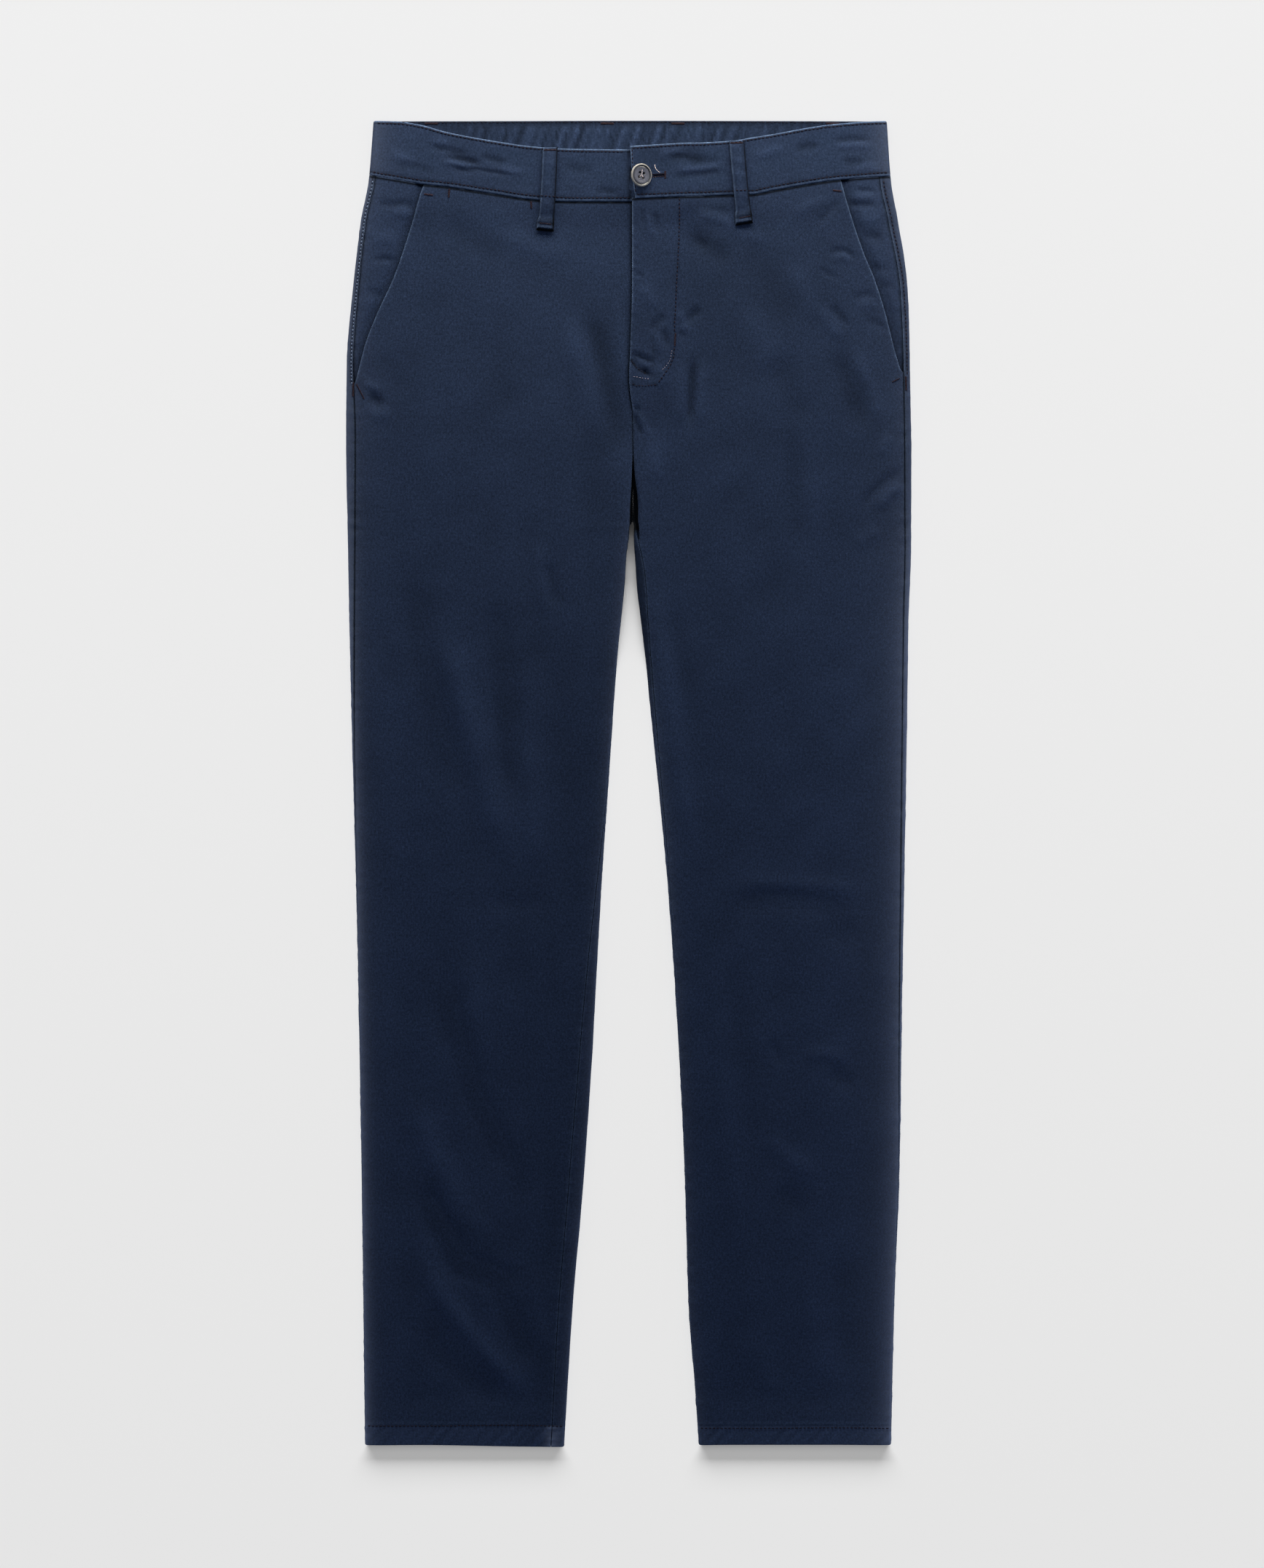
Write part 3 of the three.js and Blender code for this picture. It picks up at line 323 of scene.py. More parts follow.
FACING_CREASES = [
    ([(-186, 65), (-177, 66.5), (-168, 68)], 2.8, -0.55), ([(-188, 75), (-178, 74), (-170, 76)], 3.2, 0.35),
    ([(-204, 111.5), (-194, 110), (-183, 111)], 2.0, -0.7),
    ([(-200, 68), (-190, 67), (-178, 68)], 2.4, -0.6), ([(-206, 96), (-194, 94), (-182, 96)], 5, 0.35),
    ([(-210, 136), (-202, 137), (-193, 139)], 3.2, -0.4), ([(178, 55), (188, 56), (197, 56.5)], 1.8, -0.45),
    ([(174, 61), (186, 61.5), (198, 61.5)], 2.4, 0.35), ([(172, 65), (182, 67.5), (197, 67)], 1.9, -0.7),
    ([(180, 78), (190, 79), (200, 78)], 4, 0.35), ([(185, 90), (194, 93), (203, 94)], 4.2, -0.65),
    ([(190, 116), (199, 118), (208, 118)], 3, -0.4), ([(200, 131), (206, 132), (212, 132)], 2.6, -0.35),
]


def distance_to(points, x, drop):
    """How far each place is from a line through the points, and its share of the way along it."""
    ends = np.array(points, float)
    lengths = np.hypot(*np.diff(ends, axis=0).T)
    before = np.concatenate([[0], np.cumsum(lengths)])
    nearest = np.full(np.shape(x), 1e9)
    share = np.zeros(np.shape(x))
    for i, length in enumerate(lengths):
        run = (ends[i + 1] - ends[i]) / length
        along = np.clip((x - ends[i][0]) * run[0] + (drop - ends[i][1]) * run[1], 0, length)
        away = np.hypot(x - ends[i][0] - run[0] * along, drop - ends[i][1] - run[1] * along)
        closer = away < nearest
        nearest = np.where(closer, away, nearest)
        share = np.where(closer, (before[i] + along) / before[-1], share)
    return nearest, share


def creased(creases, x, drop):
    """The height that the creases add at each place. A crease fades out towards both of its ends."""
    height = np.zeros(np.shape(x))
    for points, width, lift in creases:
        away, share = distance_to(points, x, drop)
        taper = ease(0, 0.3, share) * ease(0, 0.3, 1 - share)
        height += lift * taper * bell(away, width)
    return height


def ripple(place, wave, seed):
    """An uneven ripple between about -1 and 1, with crests about a wave apart."""
    rng = np.random.default_rng(seed)
    total = np.zeros(np.shape(place))
    for scale, share in ((0.62, 0.3), (0.87, 0.5), (1.0, 0.6), (1.31, 0.5), (2.7, 0.4)):
        total += share * np.sin(2 * np.pi * place / (wave * scale) + rng.uniform(0, 2 * np.pi))
    return total / 1.6


def softness(x, drop, seed, shortest, longest, count=14):
    """A gentle random unevenness of about -1 to 1 over a surface."""
    rng = np.random.default_rng(seed)
    total = np.zeros(np.shape(x))
    for _ in range(count):
        wave = rng.uniform(shortest, longest)
        angle = rng.uniform(0, 2 * np.pi)
        phase = rng.uniform(0, 2 * np.pi)
        total += np.sin(2 * np.pi * (x * np.cos(angle) + drop * np.sin(angle)) / wave + phase)
    return total / np.sqrt(2 * count)


def front_turn(drop):
    return QUARTER * (1 - ease(FLY_SHUT, CROTCH, drop))


def back_turn(drop):
    return QUARTER * (1 - ease(SEAT_CURVE, CROTCH, drop))


def outer_radius(drop):
    return (FOLD(drop) - FLOOR(drop)) / 2


def inner_top(drop):
    return mix(MIDDLE(drop), FOLD(drop), np.cos(front_turn(drop)))


def inner_radius(drop):
    return (inner_top(drop) - FLOOR(drop)) / 2


def front_inner(half, drop):
    """The front's inner outline: the fly's edges down to where they meet, and the leg's outline below."""
    fly = FLY_OVER(drop) if half is LEFT else FLY_UNDER(drop)
    fork = FORK_LEFT(drop) if half is LEFT else FORK_RIGHT(drop)
    return np.select([drop < FORK_TOP, drop < FORK_END], [fly, fork], half.inner(drop))


def front_height(half, x, drop):
    """Height of the front's outside between its folds, before any crease."""
    from_outer = np.abs(x - half.edge(drop)) - outer_radius(drop)
    from_inner = np.abs(x - half.inner(drop)) - inner_radius(drop)
    middle = MIDDLE(drop)
    near_outer = bell(np.maximum(0, from_outer) - FOLD_CREST, FOLD_SOFTNESS)
    near_inner = bell(np.maximum(0, from_inner), FOLD_SOFTNESS)
    return middle + (FOLD(drop) - middle) * near_outer + (inner_top(drop) - middle) * near_inner


def overlap_lift(x, drop):
    """How much the overlap lifts the left front over the right one."""
    inset = x - FLY_OVER(drop)
    seam = LEFT.band_seam(x)
    settled = ease(seam, seam + 25, drop)
    lift = mix(OVERLAP_RISE, PANEL_RISE, settled)
    away = 1 - ease(mix(40, 28, settled), mix(60, 50, settled), inset)
    return lift * away * (1 - ease(200, 264, drop))


def outer_sag(drop):
    """How far the outer fold's top lies below the crest inside it."""
    return (FOLD(drop) - MIDDLE(drop)) * (1 - bell(FOLD_CREST, FOLD_SOFTNESS))


def fold_point(edge, inward, radius, floor, turn, reach, sag=0):
    """The section beside a fold. reach goes round the cloth from the fold's outermost line, up where
    positive."""
    angle = np.clip(reach / radius, -QUARTER, QUARTER)
    past = np.maximum(0, np.abs(reach) - radius * QUARTER)
    x = edge + inward * (radius * (np.cos(turn) - np.cos(angle)) + past)
    return x, floor + (radius - sag / 2) * (1 + np.sin(angle)), -inward * np.cos(angle), np.sin(angle)


def round_from(inset, radius):
    """How far round the cloth a place lies from a fold's outermost line, from how far inside the outline
    it is."""
    bend = np.arccos(np.clip(1 - inset / radius, -1, 1))
    return np.where(inset < radius, radius * bend, radius * QUARTER + inset - radius)


def side_seam(half, drop):
    return round_from(half.side_seam(drop), outer_radius(drop))


def leg_seam(half, drop):
    return round_from(half.leg_seam(drop), inner_radius(drop))


def slant_inset(half, drop):
    return np.abs(half.slant(drop) - half.edge(drop))


def front_span(half, drop):
    """Unrolled places, level with the front's middle, where the front starts at its side and ends at its
    centre."""
    outer, inner = outer_radius(drop), inner_radius(drop)
    seam = side_seam(half, drop) + GAP / 2
    slant = np.maximum(seam, round_from(slant_inset(half, drop), outer))
    reach = np.where(drop > half.pocket_point, seam, slant)
    start = half.edge(drop) + half.inward * (outer + reach - outer * QUARTER)
    turn = front_turn(drop)
    below = leg_seam(half, drop) + GAP / 2 * ease(CROTCH, CROTCH + 4, drop)
    reach = np.where(drop < CROTCH, inner * turn, below)
    end = front_inner(half, drop) - half.inward * (inner * np.cos(turn) + reach - inner * QUARTER)
    return start, end


def back_span(half, drop):
    """The same for the back, unrolled level with the surface."""
    outer, inner = outer_radius(drop), inner_radius(drop)
    reach = side_seam(half, drop) - GAP / 2
    start = half.edge(drop) + half.inward * (outer - reach - outer * QUARTER)
    turn = back_turn(drop)
    below = leg_seam(half, drop) - GAP / 2 * ease(CROTCH, CROTCH + 4, drop)
    reach = np.where(drop < CROTCH, -inner * turn, below)
    end = half.inner(drop) - half.inward * (inner * np.cos(turn) - reach - inner * QUARTER)
    return start, end


def front_section(half, drop, across):
    """Outside of the front at unrolled places: x, height and the direction that it faces."""
    outer, inner = outer_radius(drop), inner_radius(drop)
    floor, turn, edge = FLOOR(drop), front_turn(drop), front_inner(half, drop)
    reach = half.inward * (across - half.edge(drop)) - outer + outer * QUARTER
    sag = outer_sag(drop)
    at_outer = fold_point(
        half.edge(drop), half.inward, outer, floor, 0, np.minimum(reach, outer * QUARTER), sag,
    )
    back = half.inward * (edge - across) - inner * np.cos(turn) + inner * QUARTER
    at_inner = fold_point(edge, -half.inward, inner, floor, turn, np.minimum(back, inner * QUARTER))
    on_top = (across, front_height(half, across, drop), np.zeros_like(across), np.ones_like(across))
    picks = [reach < outer * QUARTER, back < inner * QUARTER]
    return [np.select(picks, [a, b], c) for a, b, c in zip(at_outer, at_inner, on_top)]


def back_section(half, drop, across):
    """Outside of the back, which wraps round both folds to the seams on the front side."""
    outer, inner = outer_radius(drop), inner_radius(drop)
    floor, turn, edge = FLOOR(drop), back_turn(drop), half.inner(drop)
    reach = outer - outer * QUARTER - half.inward * (across - half.edge(drop))
    at_outer = fold_point(half.edge(drop), half.inward, outer, floor, 0, reach, outer_sag(drop))
    back = inner * np.cos(turn) - inner * QUARTER - half.inward * (edge - across)
    at_inner = fold_point(edge, -half.inward, inner, floor, turn, back)
    under = (across, floor + 0 * across, np.zeros_like(across), -np.ones_like(across))
    picks = [reach > -outer * QUARTER, back > -inner * QUARTER]
    x, z, face_x, face_z = [np.select(picks, [a, b], c) for a, b, c in zip(at_outer, at_inner, under)]
    over = (reach > outer * QUARTER) | (back > inner * QUARTER)
    return x, np.where(over, front_height(half, x, drop), z), face_x, face_z


def facing_span(half, drop):
    outer = outer_radius(drop)
    start = side_seam(half, drop) + GAP / 2
    stop = np.maximum(start, round_from(slant_inset(half, drop), outer)) + POCKET_UNDER
    unroll = half.edge(drop) + half.inward * (outer - outer * QUARTER)
    return unroll + half.inward * start, unroll + half.inward * stop


def facing_section(half, drop, across):
    x, z, face_x, face_z = front_section(half, drop, across)
    outside = slant_inset(half, drop) - np.abs(x - half.edge(drop))
    return x, z - FACING_SINK * (1 - ease(2, 9, outside)), face_x, face_z


# Distances from an edge of the cloth at which its mesh has a line, close together where the edge is rounded
EDGE_LINES = [0, 0.06, 0.25, 0.65, 1.3, 2.1, 2.9, 3.7]


def column_rule(count, dense):
    """Each column's place as a fixed distance plus a share of the width, with lines 1 mm apart up to
    dense."""
    near = np.array(EDGE_LINES + list(np.arange(4.7, dense, 1.0)))
    last = near[-1]
    shares = np.linspace(0, 1, count + 2)[1:-1]
    fixed = np.concatenate([near, last * (1 - 2 * shares), -near[::-1]])
    share = np.concatenate([near * 0, shares, near * 0 + 1])
    return fixed, share


def panel_rows():
    """Drops of a panel's rows, before the curve of the waist bends them."""
    hem = HEM_LINE
    upper = list(np.arange(WAIST_ROW, WAIST_ROW + 16, 1.6))
    upper += list(np.arange(WAIST_ROW + 16, CROTCH - 15, 2.35))
    upper += list(np.arange(CROTCH - 14, CROTCH + 16, 1.2)) + list(np.arange(CROTCH + 17, hem - 8, 2.9))
    lower = list(np.arange(hem - 7.6, LENGTH - 1.6, 0.95))
    return np.array(upper + lower + [LENGTH - d for d in (1.15, 0.8, 0.45, 0.18, 0.04, 0)])


def rounding(distance, thick):
    """How far each side of a wall is drawn in near its edge, so that the edge is round."""
    radius = thick / 2
    inside = np.clip(radius - distance, 0, radius)
    return np.minimum(radius - np.sqrt(np.maximum(0, radius**2 - inside**2)), 0.93 * radius)


def hem_dip(half, x):
    """The right hem hangs a little lower towards the inside leg."""
    return 1.3 * ease(-165, -70, x) - 0.1 if half is RIGHT else -0.25 + 0 * x


class Grid:
    """A piece of cloth as rows and columns of places, with what its shape and colour need at each of
    them."""

    def __init__(self, half, span, section, rows, rule):
        fixed, share = rule
        rows = rows[:, None] + 0 * fixed[None, :]

        def place(drop):
            start, end = span(half, drop)
            width = np.abs(end - start)
            from_start = fixed + share * width
            across = start + half.inward * from_start
            return across, from_start, width - from_start, section(half, drop, across)

        _, _, _, flat = place(rows)
        seam = np.where(flat[3] < -0.5, BACK_SEAM(flat[0]), half.band_seam(flat[0]))
        bend = (seam - TUCK - WAIST_ROW) * (1 - ease(WAIST_ROW, WAIST_ROW + WAIST_SPREAD, rows))
        self.half = half
        self.drop = rows + bend + hem_dip(half, flat[0]) * ease(LENGTH - 70, LENGTH, rows)
        self.across, self.from_start, self.from_end, point = place(self.drop)
        self.x, self.z, self.face_x, self.face_z = point
        self.from_waist = rows - WAIST_ROW
        self.from_hem = LENGTH - rows
        self.up = np.clip(self.face_z, 0, 1)


def seam_gathers(half, drop, x, from_side, from_leg):
    """The small gathers that the side seam and the inside-leg seam pull in the cloth beside them."""
    side = ripple(drop, 11 if half is RIGHT else 14, 11 + half.inward)
    leg = ripple(drop, 7.5 if half is RIGHT else 13, 21 + half.inward)
    strength = mix(0.2, 0.3, ease(520, 760, drop))
    return 0.22 * side * bell(from_side, 6) + strength * leg * bell(from_leg, 5.5)


def cloth_relief(grid, creases, strength, gathers, from_side, from_leg):
    """The height that creases, gathers and unevenness add along the direction that the cloth faces."""
    x, drop = grid.x, grid.drop
    clear = ease(0, 22, grid.from_waist) * (1 - ease(-40, -18, -grid.from_hem))
    folds = creased(creases, x, drop) * clear * strength * mix(1.6, 1.25, ease(300, 380, drop))
    uneven = 0.16 * softness(x, drop, 5 + grid.half.inward, 24, 90) * clear
    sewing = seam_gathers(grid.half, drop, x, from_side, from_leg)
    sewing += 0.22 * ripple(x, 9, 31) * np.exp(-grid.from_waist / 9) * grid.up
    sewing -= 0.45 * bell(grid.from_waist, 1.6) * grid.up
    slanted = ripple(x * 0.8 + drop * 0.9, 8.5, 41)
    sewing += 0.13 * slanted * ease(-HEM_DEPTH - 3, -HEM_DEPTH, -grid.from_hem)
    return folds, uneven + sewing * gathers


def built_wall(grid, thick, lift, relief):
    """Outside and inside of a wall on a grid, its edges rounded, as two arrays of points in millimetres."""
    edge = np.minimum(grid.from_start, grid.from_end)
    drawn = np.maximum(rounding(edge, thick), rounding(grid.from_hem, thick))
    layers = []
    for depth in (drawn, thick - drawn):
        x = grid.x + grid.face_x * (relief - depth)
        z = grid.z + lift + grid.face_z * (relief - depth)
        layers.append(on_plan(x, grid.drop, z))
    return layers


def wall_faces(rows, columns):
    """Quads of a closed wall whose outside grid is followed by its inside grid."""
    out = np.arange(rows * columns).reshape(rows, columns)
    within = out + rows * columns

    def quads(a, b, c, d):
        return np.stack([a.ravel(), b.ravel(), c.ravel(), d.ravel()], axis=1)

    def sheet(grid):
        return quads(grid[:-1, :-1], grid[1:, :-1], grid[1:, 1:], grid[:-1, 1:])

    def rim(outer, inner):
        return quads(outer[:-1], inner[:-1], inner[1:], outer[1:])

    return np.concatenate(
        [
            sheet(out),
            sheet(within)[:, ::-1],
            rim(out[:, 0], within[:, 0]),
            rim(out[::-1, -1], within[::-1, -1]),
            rim(out[0, ::-1], within[0, ::-1]),
            rim(out[-1], within[-1]),
        ]
    )


def facing_outwards(points, faces):
    """The faces, turned round where the volume that they close is negative."""
    corners = points[faces]
    first = np.cross(corners[:, 1] - corners[:, 0], corners[:, 2] - corners[:, 0])
    second = np.cross(corners[:, 2] - corners[:, 0], corners[:, 3] - corners[:, 0])
    volume = ((first + second) * corners[:, 0]).sum()
    return faces if volume > 0 else faces[:, ::-1]


def add_piece(name, points, faces, material, slot, nodes=(), layout=None, wear=None, tone=None, fade=None):
    """A smooth mesh of quads that rides on the part and stands for the given solids."""
    faces = facing_outwards(points, faces)
    mesh = bpy.data.meshes.new(name)
    mesh.vertices.add(len(points))
    mesh.vertices.foreach_set("co", (points * MM).astype(np.float32).ravel())
    mesh.loops.add(faces.size)
    mesh.loops.foreach_set("vertex_index", faces.astype(np.int32).ravel())
    mesh.polygons.add(len(faces))
    mesh.polygons.foreach_set("loop_start", np.arange(0, faces.size, 4, dtype=np.int32))
    mesh.update(calc_edges=True)
    mesh.polygons.foreach_set("use_smooth", np.ones(len(faces), bool))
    if layout is not None:
        flat = mesh.uv_layers.new(name="cloth")
        flat.data.foreach_set("uv", (layout[faces.ravel()] * MM).astype(np.float32).ravel())
    # tone holds painted shade and light besides the cloth's own marks; fade a painted sheen with the hems'
    # pale wear
    for label, values in (("wear", wear), ("tone", tone), ("fade", fade)):
        if values is not None:
            layer = mesh.attributes.new(name=label, type="FLOAT", domain="POINT")
            layer.data.foreach_set("value", np.asarray(values, np.float32).ravel())
    mesh.validate()
    piece = bpy.data.objects.new(name, mesh)
    bpy.context.scene.collection.objects.link(piece)
    mesh.materials.append(material)
    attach(piece, "root")
    if nodes:
        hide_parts(*nodes)
    return piece


def add_cloth(name, layers, across, drop, wear, tone, nodes=(), slot="navy_twill", fade=0, under=0):
    """A cloth piece from its outside and inside grids. under is the tone that the inside adds: a painted
    shadow where the inside shows past the edges of the outside.
    """
    rows, columns = layers[0].shape[:2]
    points = np.concatenate([layer.reshape(-1, 3) for layer in layers])
    layout = np.stack([across.ravel(), -drop.ravel()], axis=1)
    layout = np.concatenate([layout, layout + [0.37, 0.11]])
    shade = np.clip(tone, -0.97, 2).ravel()
    # The painted sheen and the hems' pale wear, less where the tone paints the cloth darker
    paler_grey = ((fade + 0 * across) * np.clip(1 + tone, 0, 1)).ravel()
    worn = np.clip(wear, 0, 1).ravel()
    return add_piece(
        name,
        points,
        wall_faces(rows, columns),
        cloth_material() if slot == "navy_twill" else plain_material("zip tape", TAPE_COLOUR, 0.85, 0.2),
        slot,
        nodes,
        layout,
        np.concatenate([worn, worn * 0.3]),
        np.concatenate([shade, np.maximum(shade + under, -0.97)]),
        np.concatenate([paler_grey, paler_grey * 0]),
    )


def fold_sheen(half, x, drop):
    """Painted sheen: a paler grey along the folds of the legs and the hips, where light from the sides and the
    pale room would catch the curving cloth.
    """
    outer = np.abs(x - half.edge(drop))
    inner = np.abs(x - half.inner(drop))
    leg = ease(CROTCH - 60, CROTCH + 100, drop)
    if half is RIGHT:
        hip = 2.1 * np.exp(-outer / 4.5) + 0.3 * np.exp(-outer / 18)
        side = 4.5 * np.exp(-outer / 3.6) + 0.3 * np.exp(-outer / 14)
        inside = 1.15 * np.exp(-inner / 4.5)
    else:
        hip = 0.85 * np.exp(-outer / 5) + 0.34 * np.exp(-outer / 20)
        side = 2.2 * np.exp(-outer / 4) + 1.75 * np.exp(-outer / 11) + 0.2 * np.exp(-outer / 45)
        inside = 1.2 * np.exp(-inner / 4) * ease(CROTCH + 60, CROTCH + 200, drop)
    return mix(hip, side, leg) + leg * inside


def painted_light_and_shade(half, x, drop):
    """Painted light and shade over a leg and its hip: darker below the fly, over the right leg's inner half,
    on two patches of the left hip and along the inner edges, and paler over the left leg's outer half.
    """
    leg = ease(CROTCH - 40, CROTCH + 120, drop)
    if half is RIGHT:
        below_fly = 0.12 * np.exp(-((x + 25) ** 2) / 200) * (drop > 160) * (drop < 330)
        tone = -0.06 * leg * ease(-130, -60, x) - below_fly
        return tone - 0.08 * leg * np.exp(-(half.inner(drop) - x) / 14)
    hip = -0.16 * np.exp(-(((x - 72) / 40) ** 2) - ((drop - 145) / 60) ** 2)
    hip -= 0.14 * np.exp(-(((x - 140) / 22) ** 2) - ((drop - 130) / 30) ** 2)
    return hip + 0.1 * leg * ease(90, 170, x) - 0.1 * leg * np.exp(-(x - half.inner(drop)) / 14)


def relief_shading(folds, small, drop=0):
    """Ridges are paler and troughs darker: painted light on the ridges and painted shade in the troughs of the
    creases and gathers.
    """
    share = mix(0.2, 0.1, ease(300, 380, drop))
    return np.clip(share * folds + 0.3 * small, -0.35, 0.3)


def dark_line(distance, width, strength):
    """The shadow that a seam, an edge above or a row of stitches presses into the cloth."""
    return -strength * bell(distance, width)


def edge_wear(distance, width, strength, place, seed):
    """Uneven wear of the dye along an edge of the cloth."""
    return strength * (0.75 + 0.25 * ripple(place, 13, seed)) * bell(distance, width)


# Materials. OUTPUTS names the output that is used of each kind of node

OUTPUTS = {
    "UVMap": "UV", "TexCoord": "Object", "Mapping": "Vector", "TexNoise": "Fac", "TexWave": "Fac",
    "Attribute": "Fac", "MapRange": "Result", "Math": "Value", "VectorMath": "Vector", "Mix": "Result",
    "Bump": "Normal",
}


def fill(tree, socket, value):
    """Link an output to the socket, or set the socket to a constant."""
    if isinstance(value, bpy.types.NodeSocket):
        tree.links.new(value, socket)
    else:
        socket.default_value = value


def dress(tree, made, **values):
    """Fill a node's inputs by their names, with _ for a space, and set its other values."""
    for name, value in values.items():
        label = name.replace("_", " ")
        if label in made.inputs:
            fill(tree, made.inputs[label], value)
        else:
            setattr(made, name, value)


def node(tree, kind, place, *sources, **values):
    """The output of a new node, whose first inputs are filled in order and the others by name."""
    made = tree.nodes.new("ShaderNode" + kind)
    made.location = place
    dress(tree, made, **values)
    for socket, source in zip(made.inputs, sources):
        fill(tree, socket, source)
    return made.outputs[OUTPUTS[kind]]


def noise(tree, place, where, scale, detail, roughness=0.5):
    return node(tree, "TexNoise", place, Vector=where, Scale=scale, Detail=detail, Roughness=roughness)


def blend(tree, place, first, second, share):
    return node(tree, "Mix", place, data_type="RGBA", A=first, B=second, Factor=share)


def painted(tree, place, name):
    return node(tree, "Attribute", place, attribute_name=name)


def toned(tree, place):
    """One plus the tone painted on the mesh."""
    return node(tree, "Math", (place[0] + 200, place[1]), painted(tree, place, "tone"), 1.0, operation="ADD")


def new_material(name):
    material = bpy.data.materials.new(name)
    material.use_nodes = True
    return material, material.node_tree, material.node_tree.nodes["Principled BSDF"]


def scaled(colour, factor):
    return (colour[0] * factor, colour[1] * factor, colour[2] * factor, 1)


def cloth_material():
    """Fine navy twill with a soft grain, darker or paler where its tone says, which holds painted shade and
    light, worn to blue where its wear says, and with a paler grey added where its fade says: a painted sheen
    along the folds, with the pale wear of the hems.
    """
    if "navy twill" in bpy.data.materials:
        return bpy.data.materials["navy twill"]
    look = bpy.context.scene.trouser_cloth
    material, tree, shader = new_material("navy twill")
    cloth = node(tree, "UVMap", (-1500, 0), uv_map="cloth")
    blotch = noise(tree, (-1250, 350), cloth, 30.0, 6.0, 0.72)
    grain = noise(tree, (-1250, 100), cloth, 640.0, 2.0, 0.7)
    slub = node(tree, "Mapping", (-1350, -250), cloth, Scale=(760.0, 270.0, 1.0))
    yarn = noise(tree, (-1150, -250), slub, 1.0, 2.0, 0.6)
    slanted = node(tree, "Mapping", (-1350, -600), cloth, Rotation=(0, 0, np.radians(62)))
    wave = {"Scale": 330.0, "Distortion": 1.2, "Detail": 1.0, "Detail_Scale": 2.0}
    twill = node(tree, "TexWave", (-1150, -600), slanted, **wave)

    def spread(source, change, spot):
        span = {"From_Min": 0.3, "From_Max": 0.7, "To_Min": 1 - change, "To_Max": 1 + change}
        return node(tree, "MapRange", spot, Value=source, **span)

    def times(first, second, spot):
        return node(tree, "Math", spot, first, second, operation="MULTIPLY")

    cloudy = spread(blotch, 0.1, (-1000, 350))
    grainy = spread(grain, 0.34 * look.grain, (-1000, 100))
    slubby = spread(yarn, 0.2 * look.grain, (-1000, -200))
    shade = times(times(cloudy, grainy, (-780, 250)), slubby, (-600, 200))
    shade = times(shade, toned(tree, (-1000, 600)), (-420, 300))
    wear = painted(tree, (-800, -50), "wear")
    colour = blend(tree, (-420, 0), scaled(look.navy, 1), scaled(look.worn, 1), wear)
    final = node(tree, "VectorMath", (-220, 100), colour, operation="SCALE", Scale=shade)
    # fade adds a paler grey: the painted sheen along the folds and the pale wear of the hems
    fade = painted(tree, (-420, 500), "fade")
    painted_sheen = node(tree, "VectorMath", (-220, 400), look.paler_grey, operation="SCALE", Scale=fade)
    both = node(tree, "VectorMath", (-60, 200), final, painted_sheen, operation="ADD")
    fine = node(tree, "Bump", (-420, -350), Strength=0.35, Distance=0.00012, Height=grain)
    weave = node(tree, "Bump", (-220, -350), Strength=0.3, Distance=0.0001, Height=twill, Normal=fine)
    dress(tree, shader, Base_Color=both, Normal=weave, Roughness=0.88)
    dress(tree, shader, Specular_IOR_Level=0.05, Specular_Tint=(0.5, 0.7, 1.0, 1))
    dress(tree, shader, Sheen_Weight=0.01, Sheen_Roughness=0.55, Sheen_Tint=(0.55, 0.68, 1.0, 1))
    return material


def plain_material(name, colour, roughness, specular):
    """One even finish, with the faintest unevenness in its colour."""
    material, tree, shader = new_material(name)
    uneven = noise(tree, (-700, 0), node(tree, "TexCoord", (-900, 0)), 420.0, 3.0)
    shade = blend(tree, (-300, 0), scaled(colour, 0.8), scaled(colour, 1.2), uneven)
    dress(tree, shader, Base_Color=shade, Roughness=roughness)
    dress(tree, shader, Specular_IOR_Level=specular, Specular_Tint=(0.6, 0.75, 1.0, 1))
    return material


# Panels and facings


def hem_tone(half, x, drop):
    """The hems are paler in the upright twists of their stitching, most of all by the right inside leg."""
    hem = ease(HEM_LINE - 0.8, HEM_LINE + 0.8, drop)
    twists = ripple(x * 0.9 + drop * 0.7, 9.5, 42)
    tone = hem * (0.22 + 0.16 * twists) + dark_line(drop - HEM_LINE, 0.8, 0.16)
    paler_grey = 0.2 * hem
    if half is RIGHT:
        paler_grey = paler_grey + 2.3 * bell(x + 60.5, 5.5) * hem * (0.8 + 0.3 * ripple(drop, 6, 43))
    return tone, paler_grey


def fly_tone(half, x, drop):
    """The shadow beside the overlap's edge on the right front, and the pressed line of the fly's
    stitches."""
    if half is RIGHT:
        beside = np.maximum(0, FLY_OVER(drop) - x)
        return dark_line(beside, 1.5, 0.9) * (drop < FLY_SHUT)
    tone = 0
    pressed = [(FLY_CURVE + FLY_BEND, 0.16), (FLY_BEND_INSIDE, 0.2), (FLY_FOOT, 0.5), (FLY_SLOPE, 0.8)]
    for line, strength in pressed:
        away, _ = distance_to(line, x, drop)
        tone = tone + dark_line(away, 0.85, strength)
    return tone


